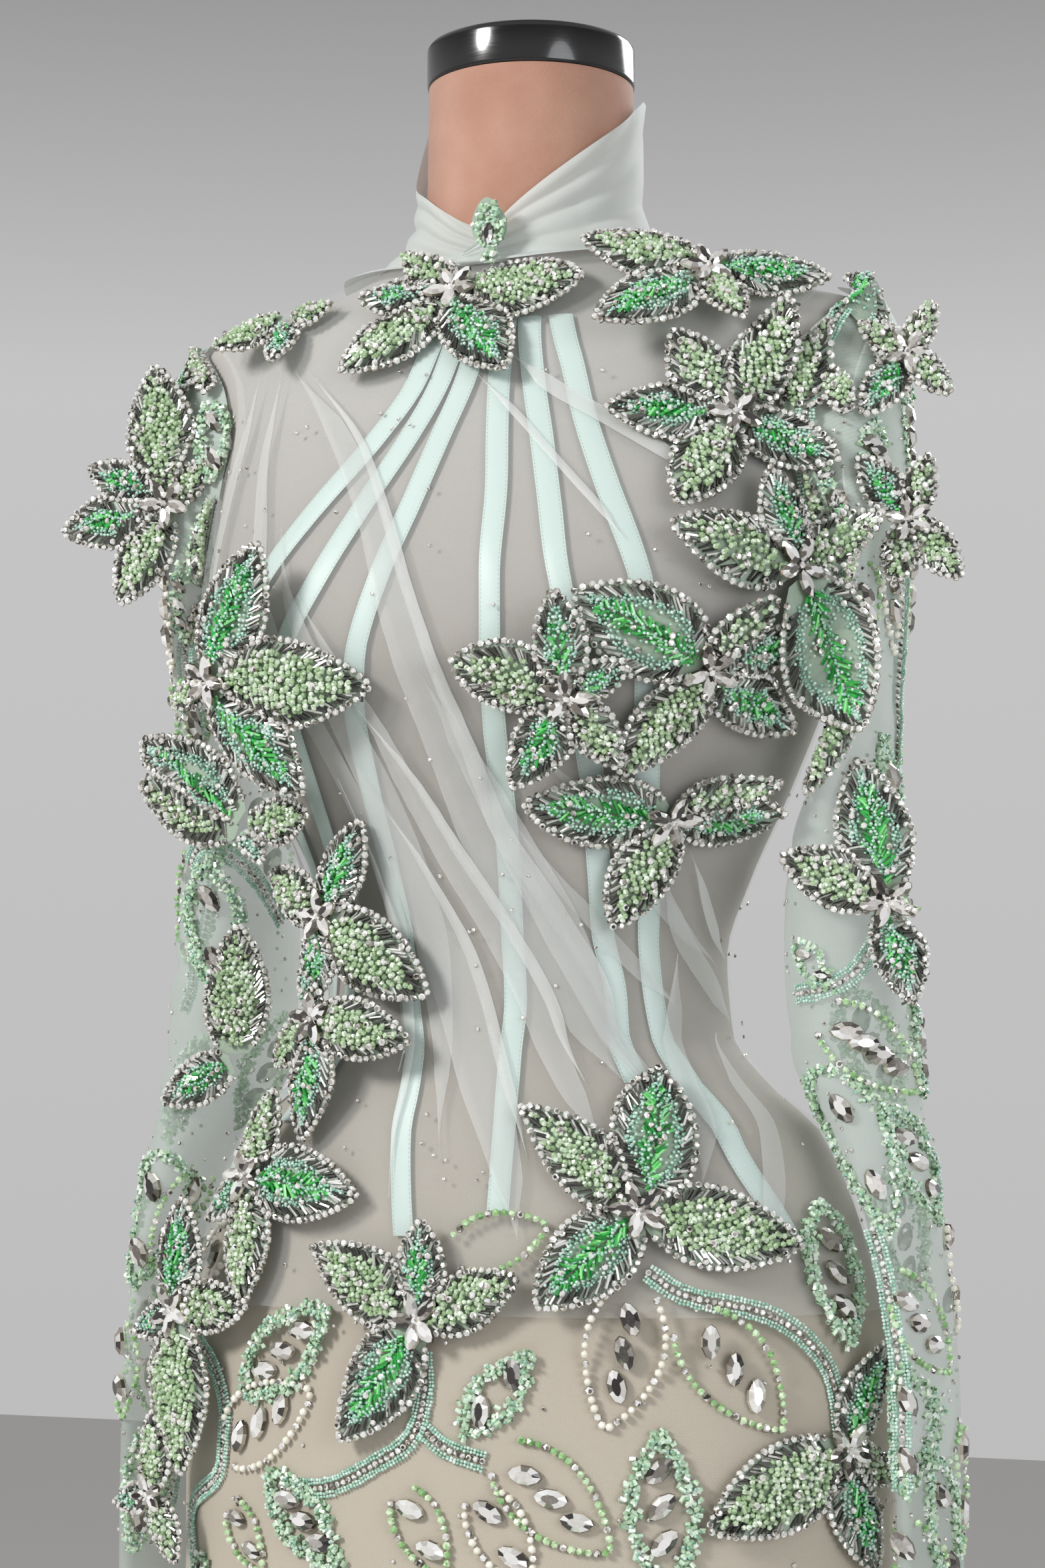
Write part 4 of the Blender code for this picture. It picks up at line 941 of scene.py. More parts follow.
def sleeve_point(side, turn, down, out):
    """Point on a sleeve: turn 0 is its outer side and 90 its front; side is +1 for the form's left."""
    turn, down = np.broadcast_arrays(np.asarray(turn, float), np.asarray(down, float))
    rows = [(k / (len(SLEEVE) - 1),) + tuple(ring) for k, ring in enumerate(SLEEVE)]
    outer_x, outer_z, inner_x, inner_z, depth, inset = (read_curve(rows, k + 1, down) for k in range(6))
    span = np.hypot(outer_x - inner_x, outer_z - inner_z)
    c, s = np.cos(np.radians(turn)), np.sin(np.radians(turn))
    reach = (span / 2 + out) * c
    x = (outer_x + inner_x) / 2 + reach * (outer_x - inner_x) / span - inset * s * s
    z = (outer_z + inner_z) / 2 + reach * (outer_z - inner_z) / span
    return np.stack([side * x, -(depth + out) * s, z], -1)


def sleeve_seam_point(side, turn, out=0.0):
    """Points of the ring that is lapped over the armhole's edge."""
    c = np.cos(np.radians(turn))
    height = ARMHOLE_HEIGHT + (ARMHOLE_TALL + SLEEVE_LAP) * c
    y = -(ARMHOLE_DEEP + SLEEVE_LAP) * np.sin(np.radians(turn))
    lap = SLEEVE_SEAM_OUT + 0.0015 * np.maximum(c, 0.0) ** 4
    point = layer_point(angle_at_depth(height, y), height, lap + out)
    return point * [side, 1, 1]


def crease_rise(turn, down, side):
    """How far the creases, each a trough with a ridge under it, and the hang move the sleeve's cloth."""
    rise = np.zeros(np.broadcast(turn, down).shape)
    for k, crease in enumerate(SLEEVE_CREASES):
        away = (turn - crease.turn + 9 * side * (k % 3) + 180) % 360 - 180
        across = (down - crease.down - 0.012 * side - crease.slant * away / 60) / CREASE_TALL
        trough = np.exp(-across ** 2) - CREASE_RIDGE * np.exp(-(across - CREASE_RIDGE_BELOW) ** 2)
        rise = rise - crease.depth * np.exp(-(away / crease.long) ** 2) * trough
    hang = SLEEVE_HANG * np.sin(np.radians(turn * 4 + 30 * side)) * np.clip(down * 2, 0, 1)
    return rise + hang


def sleeve_finish():
    """Sheer mint net, denser towards the armhole, where it is gathered."""
    made, shader = new_finish("sleeve_net", dye(214, 230, 220), 0.6, alpha=0.34,
                              sheen_weight=0.4, sheen_roughness=0.4)
    place = add_node(made, "ShaderNodeTexCoord")
    axes = add_node(made, "ShaderNodeSeparateXYZ")
    link(made, place.outputs["Object"], axes.inputs["Vector"])
    gather = add_node(made, "ShaderNodeMapRange",
                      {"From Min": 1.20, "From Max": 1.36, "To Min": 0.36, "To Max": 0.74})
    link(made, axes.outputs["Z"], gather.inputs["Value"])
    link(made, gather.outputs["Result"], shader.inputs["Alpha"])
    threads = crossed_threads(made, SLEEVE_CELL, SLEEVE_SLANT)
    link(made, blended(made, product(made, threads, 0.45), dye(210, 222, 214), dye(172, 192, 182)),
         shader.inputs["Base Color"])
    bumped(made, shader, threads, 0.2, 0.0002)
    return made


sleeve_net = sleeve_finish()
sleeve_turns = np.linspace(-180, 180, SLEEVE_COLUMNS)
grid_turn, grid_down = np.meshgrid(sleeve_turns, np.linspace(0, 1, SLEEVE_ROWS))
for side, node in ((1, "sleeve_left"), (-1, "sleeve_right")):
    seam = sleeve_seam_point(side, sleeve_turns)
    first_ring = sleeve_point(side, sleeve_turns, 0.0, SLEEVE_OUT)
    lap = [seam * (1 - t) + first_ring * t + np.array([side * LAP_PUFF * math.sin(math.pi * t), 0, 0])
           for t in LAP_STEPS]
    rise = crease_rise(grid_turn, grid_down, side) * np.clip(grid_down / SLEEVE_SMOOTH, 0, 1)
    points = np.concatenate([[seam], lap, sleeve_point(side, grid_turn, grid_down, SLEEVE_OUT + rise)])
    made = mesh_piece("net_" + node, points.reshape(-1, 3),
                      grid_faces(len(points), SLEEVE_COLUMNS, flip=side > 0), [sleeve_net],
                      measures=cloth_measures(points).reshape(-1, 2))
    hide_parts(node)
    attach(made, "root")

# Leaf flowers
# Stiff net leaves, each edged with a chain of clear stones in silver cups and a slanted row of long dark and
# silver tube beads.  Some are filled with pale green glass beads, the others with bright green tubes either
# side of a vein of seed beads.  Two to five are sewn together, most of them under a star of pointed stones.
Flower = namedtuple("Flower", "name ground place layer star petals")
FLOWERS = [
    Flower("neck", "body", (-5, 1.43), 0, True,
           [(-139, 69, "P"), (-55, 66, "G"), (-2, 70, "P"), (186, 48, "G"), (146, 42, "P")]),
    Flower("left_chest", "body", (47.6, 1.3582), 0, True,
           [(129, 55, "P"), (73, 63, "P"), (178, 59, "G"), (-25, 54, "G"), (-116, 60, "P")]),
    Flower("left_armhole", "body", (58.3, 1.283), 1, True,
           [(168, 58, "P"), (104, 46, "G"), (34, 47, "P"), (-54, 87, "G")]),
    Flower("left_bust_inner", "body", (23.3, 1.2271), 1, True,
           [(164, 57, "P"), (98, 44, "G"), (31, 30, "G"), (-114, 51, "G"), (-56, 41, "P")]),
    Flower("left_bust_outer", "body", (46.2, 1.238), 0.1, True,
           [(152, 74, "G"), (66, 37, "P"), (-29, 58, "G"), (-117, 60, "P"), (22, 47, "G")]),
    Flower("left_ribs", "body", (47.3, 1.1673), 0, True,
           [(173, 70, "G"), (-104, 58, "P"), (6, 53, "G"), (36, 48, "P")]),
    Flower("front_hip", "body", (-4.5, 0.9216), 0, True,
           [(147, 65, "P"), (91, 48, "G"), (22, 53, "P"), (-124, 69, "G")]),
    Flower("left_front_hip", "body", (31.6, 0.9746), 0, True,
           [(131, 65, "P"), (69, 73, "G"), (-15, 73, "P"), (-139, 69, "G")]),
    Flower("left_low_hip", "body", (68.6, 0.8619), 0, True,
           [(-154, 77, "P"), (67, 52, "G"), (-77, 61, "G"), (-30, 34, "P")]),
    Flower("collar_leaf", "body", (3, 1.452), 1, False,
           [(90, 28, "M"), (-90, 14, "M")]),
    Flower("right_bust", "air", (-0.124, -0.1214, 1.2352, -20, -10, 0.12), 0, True,
           [(60, 75, "G"), (-6, 86, "P"), (-52, 75, "G"), (-158, 27, "P")]),
    Flower("right_ribs", "air", (-0.0766, -0.0885, 1.1189, -22, 0, 0.1), 0, True,
           [(62, 53, "G"), (-34, 71, "P"), (-101, 46, "G"), (152, 48, "P")]),
    Flower("right_waist", "air", (-0.0779, -0.0933, 1.0679, -22, 0, 0.1), 0, True,
           [(-11, 56, "P"), (-102, 61, "G"), (-148, 38, "P"), (110, 25, "G")]),
    Flower("right_hip", "air", (-0.1185, -0.0846, 0.9892, -26, 8, 0.13), 0, True,
           [(-3, 70, "G"), (-87, 64, "P"), (75, 46, "P"), (-138, 33, "G")]),
    Flower("right_elbow", "air", (-0.1249, -0.0802, 1.1647, -6, 0), 0, False,
           [(144, 81, "G"), (158, 69, "P"), (7, 44, "P"), (-59, 22, "G")]),
    Flower("left_shoulder_top", "air", (0.1148, -0.0569, 1.4362, 25, 36), 0, True,
           [(158, 65, "P"), (-147, 67, "G"), (-68, 39, "P"), (1, 61, "G")]),
    Flower("right_shoulder_top", "air", (-0.1114, -0.0597, 1.4291, -8, 34), 0, False,
           [(-155, 42, "P"), (-85, 32, "G"), (6, 27, "P")]),
    Flower("left_sleeve_head", "air", (0.2096, -0.0332, 1.393, 21, 0), 0, True,
           [(146, 27, "P"), (60, 27, "P"), (-123, 38, "G"), (-41, 29, "P")]),
    Flower("left_sleeve_cap", "air", (0.2105, -0.0379, 1.3095, 21, 0), 0, True,
           [(124, 39, "G"), (-47, 38, "P"), (72, 33, "P"), (-103, 33, "P")]),
    Flower("left_sleeve_elbow", "air", (0.1985, -0.0392, 1.1243, 21, 0), 0, True,
           [(99, 70, "G"), (155, 55, "P"), (-75, 51, "G"), (-19, 15, "P")]),
    Flower("right_sleeve_head", "air", (-0.1855, -0.0508, 1.3388, 4, 0), 0, True,
           [(153, 49, "G"), (-169, 60, "G"), (-117, 58, "P"), (95, 75, "P"), (44, 33, "P")]),
    Flower("right_sleeve_elbow", "air", (-0.1459, -0.0455, 1.0474, 0, 0), 0, False,
           [(90, 70, "P"), (-152, 46, "G")]),
    Flower("right_sleeve_low", "air", (-0.1597, -0.0827, 0.9218, -22, 0, 0.12), 0, True,
           [(83, 57, "G"), (8, 48, "P"), (-90, 82, "P"), (-158, 33, "G")]),
    Flower("right_sleeve_cuff", "air", (-0.1752, -0.076, 0.8287, -22, 0, 0.12), 0, True,
           [(85, 41, "P"), (-169, 27, "G"), (-62, 37, "P")]),
]
# Leaves that are curled up and away from the cloth: how far the tip stands off, by the leaf's place in a row
CURLED = {("left_bust_outer", 1): 0.015, ("left_ribs", 3): 0.013, ("right_elbow", 2): 0.012,
          ("left_armhole", 2): 0.006, ("left_sleeve_cap", 2): 0.006, ("left_low_hip", 1): 0.006,
          ("left_sleeve_head", 1): 0.007, ("right_sleeve_head", 3): 0.006}
FLOWER_ON_DRAPE = 0.0081
FLOWER_ON_DRESS = 0.0034
FLOWER_LAYER = 0.0066
LEAF_OVERLAP = 0.0014
BEADS_ON_SLEEVE = 0.0010
BEADS_ON_CAP = 0.0034
LAP_SHARE = 0.10
FLAT_BEND = 0.30
SLEEVE_FRONT = 0.0500
SLEEVE_FRONT_LOW = 1.17
SLEEVE_FRONT_HIGH = 1.44
SLEEVE_FRONT_ANGLE = 45.0
EDGE_BELOW = 0.030
EDGE_RUN = 0.022
PETAL_SHARE = 0.52
PETAL_ROOM = 1.12
PETAL_SPACE = 0.0010
TIP_LIFT = 0.0032
PETAL_DOME = 0.0022
STONE = 0.0040
TUBE_LONG = 0.0078
TUBE_THICK = 0.0015
EDGE_TO_TUBES = 0.0020
EDGE_TO_FILL = 0.0062
PALE_BEAD = 0.0033
SEED = 0.0019
SEED_ROWS = (0.0003, 0.0019, 0.0035)
GREEN_TUBE = 0.0016
STAR_LONG = 0.0142
STAR_WIDE = 0.0070
STAR_REACH = 0.0072
STAR_HIGH = 0.0050
STAR_CENTRE_HIGH = 0.0044
SMALL_STAR = 0.85
SMALL_STAR_LEAVES = 0.055
COLLAR_STONE = (0.012, 0.006)
COLLAR_STONE_UP = 0.008
FULL_TURN = 6.28
# Tones of the clear stones and their spread from facet to facet: painted reflections, lighter and darker
# stone by stone and facet by facet.
STONE_REFLECTION_TONES = (0.50, 0.94)
STONE_SPARKLE = 0.36
STONE_LEAN = 0.16
POINTED_REFLECTION_TONES = (0.34, 0.66)
POINTED_SPARKLE = 0.42
FULL_LEAF = 0.016
LONG_LEAF = 0.045
LEAF_ROWS = 34
LEAF_COLUMNS = 19
LEAF_GRID_RUN = (-0.15, 1.10)
LEAF_GRID_WIDE = 0.36
LEAF_SHAPE = (0.85, 0.75)
LEAF_STEP = 0.004
OUTLINE_STEPS = 90
NET_PAST_BEADS = 0.0008
NET_UNDER_BEADS = 0.0006
CHAIN_PITCH = 0.97
CHAIN_HIGH = 0.0008
SECOND_CHAIN_IN = 0.0016
SECOND_CHAIN_PITCH = 4.6
SECOND_CHAIN_HIGH = 0.0026
TUBE_PITCH = 0.00185
TUBE_SLANT = (50, 9)
TUBES_KEPT = 0.94
TUBES_FROM = 0.16
BRIGHT_SHARE = 0.30
BRIGHT_TONES = (0.72, 0.95)
DULL_TONES = (0.10, 0.46)
PALE_HIGH = 0.0016
PALE_HEAP = 0.0012
PALE_TOP_HIGH = 0.0040
PALE_STONE_HIGH = 0.0045
GREEN_PITCH = 0.00150
GREEN_LONG = 0.0076
GREEN_SLANT = (42, 14)
VEIN_WAVE = 0.0026
GREEN_STONE_HIGH = 0.0034
SEQUIN_PITCH = 0.0027
SEQUIN_THICK = 0.0024
SEQUIN_LEVELS = (0.0004, 0.0020)


def on_dress(angle, height, out):
    """Points on the dress and, above the draped tulle's hem, on the tulle's folds."""
    on_tulle = np.clip((height - DRAPE_HEM + EDGE_BELOW) / EDGE_RUN, 0, 1)
    rest = FLOWER_ON_DRESS + (FLOWER_ON_DRAPE - FLOWER_ON_DRESS) * on_tulle
    folds = np.where(height > DRAPE_HEM, fold_rise(angle, height), 0.0)
    return layer_point(angle, height, rest + folds + out)


def together(*values):
    """The values as arrays of one common shape."""
    return np.broadcast_arrays(*(np.asarray(value, float) for value in values))


def on_body(angle, height):
    """Function that places local points (across, up, out) on the body round a given place."""
    def place(across, up, out):
        across, up, out = together(across, up, out)
        z = np.full(up.shape, float(height))
        for _ in range(10):
            above, below = body_point(angle, z + 0.0005), body_point(angle, z - 0.0005)
            z = z + up / 10 / (np.linalg.norm(above - below, axis=-1) / 0.001)
        turned_to = np.full(up.shape, float(angle))
        for _ in range(3):
            middle = (angle + turned_to) / 2
            degree = np.linalg.norm(body_point(middle + 0.5, z) - body_point(middle - 0.5, z), axis=-1)
            turned_to = angle + across / degree
        limit = angle_at_depth(z, -SLEEVE_FRONT)
        past = ((z > SLEEVE_FRONT_LOW) & (z < SLEEVE_FRONT_HIGH) & (np.abs(turned_to) > SLEEVE_FRONT_ANGLE))
        side = np.sign(turned_to)
        beyond = np.where(past, np.maximum(0.0, np.abs(turned_to) - limit) * degree, 0.0)
        held = np.where(past, side * np.minimum(np.abs(turned_to), limit), turned_to)
        point = on_dress(held, z, out)
        point[..., 0] += side * beyond
        return point
    return place


def in_air(x, y, z, facing, tilt, bend=FLAT_BEND):
    """The same for a flower that stands off the cloth, facing its own way and bent back round an upright."""
    a, t = math.radians(facing), math.radians(tilt)
    middle = np.array([x, y, z])
    normal = np.array([math.sin(a) * math.cos(t), -math.cos(a) * math.cos(t), math.sin(t)])
    across_way = unit(np.array([-normal[1], normal[0], 0.0]))
    up_way = np.cross(normal, across_way)

    def place(across, up, out):
        across, up, out = together(across, up, out)
        droop = across ** 2 / (2 * bend) + up ** 2 / (2 * FLAT_BEND)
        return (middle + across[..., None] * across_way + up[..., None] * up_way
                + (out - droop)[..., None] * normal)
    return place


def on_sleeve(side):
    """Function that places points (turn, share down, out) on the cloth of a sleeve.

    A share below nothing lies on the lap between the sleeve's first ring and the armhole's edge.
    """
    def surface(turn, down, out):
        turn, down, out = together(turn, down, out)
        smooth = np.clip(down / SLEEVE_SMOOTH, 0, 1)
        rise = crease_rise(turn, down, side) * smooth + BEADS_ON_CAP * (1 - smooth)
        point = sleeve_point(side, turn, np.maximum(down, 0.0), BEADS_ON_SLEEVE + rise + out)
        lapped = np.clip(-down / LAP_SHARE, 0, 1)[..., None]
        seam = sleeve_seam_point(side, turn, BEADS_ON_SLEEVE + out) if lapped.any() else point
        return point * (1 - lapped) + seam * lapped
    return surface


def ring_points(sides, radius, height, turn=0.0):
    """Corners of a regular ring; turn is in steps of one corner."""
    angles = (np.arange(sides) + turn) * 2 * math.pi / sides
    return np.stack([radius * np.cos(angles), radius * np.sin(angles), np.full(sides, height)], -1)


def loft(rings, capped=True):
    """Triangles between rings of equal counts, with the last ring closed.  Each face keeps the number of its
    ring and of its facet."""
    count = len(rings[0])
    faces, part, facet = [], [], []
    for k in range(len(rings) - 1):
        for c in range(count):
            d = (c + 1) % count
            a, b = k * count, (k + 1) * count
            faces += [(a + c, a + d, b + d), (a + c, b + d, b + c)]
            part += [k, k]
            facet += [a + c, a + c]
    if capped:
        last = (len(rings) - 1) * count
        faces += [(last, last + c, last + c + 1) for c in range(1, count - 1)]
        part += [len(rings) - 1] * (count - 2)
        facet += [last] * (count - 2)
    return np.concatenate(rings), np.array(faces), np.array(part), np.array(facet)


def pointed_ring(sides, long, wide, height):
    """Corners of a ring that is pointed at both ends."""
    angles = np.arange(sides) * 2 * math.pi / sides
    s, c = np.sin(angles), np.cos(angles)
    return np.stack([long * c, wide * s * (0.72 + 0.28 * np.abs(s)), np.full(sides, height)], -1)


def ball():
    """Round bead with twenty facets."""
    g = (1 + 5 ** 0.5) / 2
    points = [(-1, g, 0), (1, g, 0), (-1, -g, 0), (1, -g, 0), (0, -1, g), (0, 1, g),
              (0, -1, -g), (0, 1, -g), (g, 0, -1), (g, 0, 1), (-g, 0, -1), (-g, 0, 1)]
    points = unit(np.array(points, float)) * 0.5
    apart = np.linalg.norm(points[:, None] - points[None], axis=-1)
    near = (apart > 1e-6) & (apart < 0.6)
    faces = []
    for a in range(12):
        for b in range(a + 1, 12):
            for c in range(b + 1, 12):
                if near[a, b] and near[b, c] and near[a, c]:
                    outward = np.cross(points[b] - points[a], points[c] - points[a]) @ points[a] > 0
                    faces.append((a, b, c) if outward else (a, c, b))
    return points, np.array(faces), np.zeros(len(faces), int), np.arange(len(faces))


CUT_STONE = loft([ring_points(6, 0.50, 0.0), ring_points(6, 0.44, 0.22), ring_points(6, 0.24, 0.40, 0.5)])
POINTED_STONE = loft([pointed_ring(10, 0.52, 0.56, 0.0), pointed_ring(10, 0.49, 0.50, 0.20),
                      pointed_ring(10, 0.27, 0.24, 0.42)])
ROUND_BEAD = ball()
tube_rings = [ring_points(5, 0.5, k)[:, [2, 0, 1]] - [0.5, 0, 0] for k in (0.0, 1.0)]
TUBE_BEAD = loft(tube_rings, capped=False)


def toned_finish(name, shades, roughness, **values):
    """Bead finish whose colour follows each facet's tone, which holds the bead's own shade and painted
    reflections;
    shades are (tone, colour) from dark to light.
    """
    stops = [(tone, dye(*colour)) for tone, colour in shades]
    made, shader = new_finish(name, stops[-1][1], roughness, **values)
    tone = add_node(made, "ShaderNodeAttribute", attribute_name="tone")
    place = add_node(made, "ShaderNodeTexCoord")
    cloud = add_node(made, "ShaderNodeTexNoise", {"Scale": 700.0, "Detail": 1.0})
    link(made, place.outputs["Object"], cloud.inputs["Vector"])
    spread = product(made, cloud.outputs["Fac"], 0.20)
    level = product(made, product(made, tone.outputs["Fac"], spread, "ADD"), -0.10, "ADD")
    link(made, ramp(made, level, stops), shader.inputs["Base Color"])
    return made


# The clear stone's stops, from near black to white, are painted dark and bright reflections; the near-white
# top stops of the pale glass and the sequins are painted highlights.
BEAD_FINISHES = [
    toned_finish("clear_stone",
                 [(0.0, (52, 48, 46)), (0.30, (140, 134, 126)), (0.62, (232, 229, 225)),
                  (1.0, (255, 255, 255))],
                 0.05, metallic=0.35, coat_weight=1.0, coat_roughness=0.02),
    toned_finish("silver_cup", [(0.0, (92, 84, 74)), (0.5, (176, 168, 154)), (1.0, (232, 226, 214))],
                 0.22, metallic=0.7),
    toned_finish("dark_tube",
                 [(0.0, (48, 48, 46)), (0.55, (104, 104, 98)), (0.75, (206, 206, 200)),
                  (1.0, (248, 248, 246))],
                 0.16, metallic=0.4, coat_weight=0.8),
    toned_finish("pale_green_glass",
                 [(0.0, (120, 150, 108)), (0.45, (166, 194, 148)), (0.8, (196, 218, 184)),
                  (1.0, (240, 248, 236))],
                 0.10, coat_weight=1.0, coat_roughness=0.04),
    toned_finish("mint_seed_bead", [(0.0, (112, 176, 148)), (0.5, (162, 210, 190)), (1.0, (226, 246, 238))],
                 0.16, coat_weight=1.0, coat_roughness=0.05),
    toned_finish("bright_green_tube", [(0.0, (20, 118, 44)), (0.5, (52, 186, 78)), (1.0, (150, 238, 150))],
                 0.12, coat_weight=1.0, coat_roughness=0.04),
    toned_finish("cream_pearl", [(0.0, (226, 222, 202)), (1.0, (255, 252, 242))],
                 0.20, coat_weight=0.7, sheen_weight=0.4),
    toned_finish("stiff_net", [(0.0, (120, 140, 122)), (0.5, (158, 176, 158)), (1.0, (196, 210, 196))],
                 0.6, sheen_weight=0.3),
    toned_finish("mint_sequin",
                 [(0.0, (152, 190, 152)), (0.5, (192, 220, 190)), (0.85, (220, 240, 218)),
                  (1.0, (252, 255, 250))],
                 0.14, coat_weight=1.0, coat_roughness=0.04),
    toned_finish("green_crystal", [(0.0, (96, 152, 84)), (0.5, (152, 200, 132)), (1.0, (226, 246, 212))],
                 0.08, coat_weight=1.0, coat_roughness=0.03),
]
CLEAR, CUP, DARK_TUBE, PALE_GLASS, MINT_SEED, GREEN, PEARL, STIFF_NET, SEQUIN, GREEN_CRYSTAL = range(10)


class Beadwork:
    """Beads, stones and net of one piece, gathered and then joined into one mesh."""

    def __init__(self, seed):
        self.points, self.faces, self.finish, self.tone, self.smooth = [], [], [], [], []
        self.count = 0
        self.rng = np.random.default_rng(seed)

    def sew(self, shape, at, along, across, up, size, finishes, tone, sparkle, smooth=False):
        """Sews copies of a shape, whose own axes turn to along, across and up; one finish for each ring, and
        sparkle is how much the tone differs from facet to facet, which paints bright and dark reflections on
        the facets."""
        points, faces, part, facet = shape
        many = len(at)
        if many == 0:
            return
        local = points[None] * np.broadcast_to(np.asarray(size, float), (many, 3))[:, None]
        made = (at[:, None] + local[..., :1] * along[:, None] + local[..., 1:2] * across[:, None]
                + local[..., 2:] * up[:, None])
        self.points.append(made.reshape(-1, 3))
        starts = self.count + len(points) * np.arange(many)
        self.faces.append((faces[None] + starts[:, None, None]).reshape(-1, 3))
        rings = np.asarray(finishes)[np.minimum(part, len(finishes) - 1)]
        self.finish.append(np.tile(rings, many))
        self.smooth.append(np.full(many * len(faces), smooth))
        # Painted reflections: each facet's tone is made lighter or darker at random by the sparkle.
        painted_facet_reflections = self.rng.normal(0, sparkle, (many, facet.max() + 1))[:, facet]
        self.tone.append((np.broadcast_to(tone, many)[:, None] + painted_facet_reflections).ravel())
        self.count += many * len(points)

    def stretch(self, points, tone):
        """Adds a small sheet of stiff net from a grid of points."""
        rows, columns = points.shape[:2]
        quads = grid_faces(rows, columns)
        self.points.append(points.reshape(-1, 3))
        faces = np.concatenate([quads[:, [0, 1, 2]], quads[:, [0, 2, 3]]]) + self.count
        self.faces.append(faces)
        self.finish.append(np.full(len(faces), STIFF_NET))
        self.smooth.append(np.full(len(faces), True))
        self.tone.append(np.full(len(faces), tone))
        self.count += rows * columns

    def piece(self, name):
        """Joins all that was sewn so far into one mesh."""
        return mesh_piece(name, np.concatenate(self.points), np.concatenate(self.faces), BEAD_FINISHES,
                          finish_index=np.concatenate(self.finish), smooth=np.concatenate(self.smooth),
                          tone=np.concatenate(self.tone))


def grid_place(value, steps):
    """Number of the grid line before a value, and the share of the way from it to the next."""
    at = np.clip((value - steps[0]) / (steps[1] - steps[0]), 0, len(steps) - 1.001)
    before = at.astype(int)
    return before, (at - before)[..., None]


class Leaf:
    """One leaf's own measures: run goes from its root to its tip, and wide to its left.

    Its form is worked out once on a grid, and places between are read from that.
    """

    def __init__(self, place, way, long, lift, tip, room_right, room_left, bend, share=PETAL_SHARE):
        self.place, self.way, self.long, self.lift, self.tip = place, way, long, lift, tip
        self.room_right, self.room_left, self.bend, self.share = room_right, room_left, bend, share
        self.domed = PETAL_DOME
        self.run_rows = np.linspace(*LEAF_GRID_RUN, LEAF_ROWS) * long
        self.wide_columns = np.linspace(-LEAF_GRID_WIDE, LEAF_GRID_WIDE, LEAF_COLUMNS) * long
        self.measure()

    def measure(self):
        """Works out the leaf's surface on its grid, and how it moves with the distance out from it."""
        run, wide = np.meshgrid(self.run_rows, self.wide_columns, indexing="ij")
        self.grid = self.form(run, wide, 0.0)
        self.away = (self.form(run, wide, LEAF_STEP) - self.grid) / LEAF_STEP

    def flatten(self):
        """Takes the dome out of a leaf whose beads are sewn straight on the cloth."""
        self.domed = 0.0
        self.measure()

    def edge(self, run, side):
        """Half width at a distance along, on its left (1) or right (-1)."""
        share = np.clip(run / self.long, 0, 1)
        wide = self.share / 2 * self.long * np.sin(math.pi * share ** LEAF_SHAPE[0]) ** LEAF_SHAPE[1]
        gap = self.room_left if side > 0 else self.room_right
        room = PETAL_ROOM * run * math.tan(math.radians(min(gap, 150) / 2)) - PETAL_SPACE
        return np.maximum(np.minimum(wide, room), 0.0)

    def form(self, run, wide, out):
        """Points of the domed leaf, with its tip lifted and its middle line bent to one side."""
        share = run / self.long
        half = np.maximum(self.share / 2 * self.long, 0.004)
        dome = (self.domed * min(1.0, self.long / 0.06) * np.clip(1 - (wide / half) ** 2, -0.6, 1)
                * np.clip(share * 3, 0, 1))
        rise = self.tip * share ** 2 + dome
        wide = wide + self.bend * share ** 2
        across = run * math.cos(self.way) - wide * math.sin(self.way)
        up = run * math.sin(self.way) + wide * math.cos(self.way)
        return self.place(across, up, self.lift + rise + out)

    def axes(self, run, wide, out):
        """Place, and the ways along, to the left of and out from the leaf there."""
        run, wide, out = together(run, wide, out)
        i, f = grid_place(run, self.run_rows)
        j, g = grid_place(wide, self.wide_columns)
        low, ahead = self.grid[i, j], self.grid[i + 1, j]
        beside, corner = self.grid[i, j + 1], self.grid[i + 1, j + 1]
        away = ((1 - f) * ((1 - g) * self.away[i, j] + g * self.away[i, j + 1])
                + f * ((1 - g) * self.away[i + 1, j] + g * self.away[i + 1, j + 1]))
        flat = (1 - f) * ((1 - g) * low + g * beside) + f * ((1 - g) * ahead + g * corner)
        along = unit((1 - g) * (ahead - low) + g * (corner - beside))
        side = (1 - f) * (beside - low) + f * (corner - ahead)
        up = unit(np.cross(along, side))
        return flat + away * out[..., None], along, np.cross(up, along), up

    def at(self, places, out):
        """The same for rows of (run, wide)."""
        return self.axes(places[:, 0], places[:, 1], out)

    def outline(self, inset):
        """Points of the outline from its root by the right to the tip and back, with the inward ways."""
        share = np.linspace(0.10, 1.0, OUTLINE_STEPS)
        run = share * self.long
        right = np.stack([run, -self.edge(run, -1)], -1)
        left = np.stack([run, self.edge(run, 1)], -1)[::-1]
        line = np.concatenate([right, left[1:]])
        ahead = unit(np.gradient(line, axis=0))
        inward = np.stack([-ahead[:, 1], ahead[:, 0]], -1)
        return line + inward * inset, ahead, inward


def spaced(line, pitch, *others):
    """Rows of a line, and of others that go with it, at even distances along it."""
    step = np.linalg.norm(np.diff(line, axis=0), axis=-1)
    run = np.concatenate([[0], np.cumsum(step)])
    count = max(2, int(round(run[-1] / pitch)))
    at = (np.arange(count) + 0.5) * run[-1] / count
    return [np.stack([np.interp(at, run, rows[:, k]) for k in range(rows.shape[1])], -1)
            for rows in (line,) + others]


def turned_ways(along, side, angle):
    """The two ways turned by an angle in their own plane."""
    c, s = np.cos(angle)[:, None], np.sin(angle)[:, None]
    return along * c + side * s, side * c - along * s


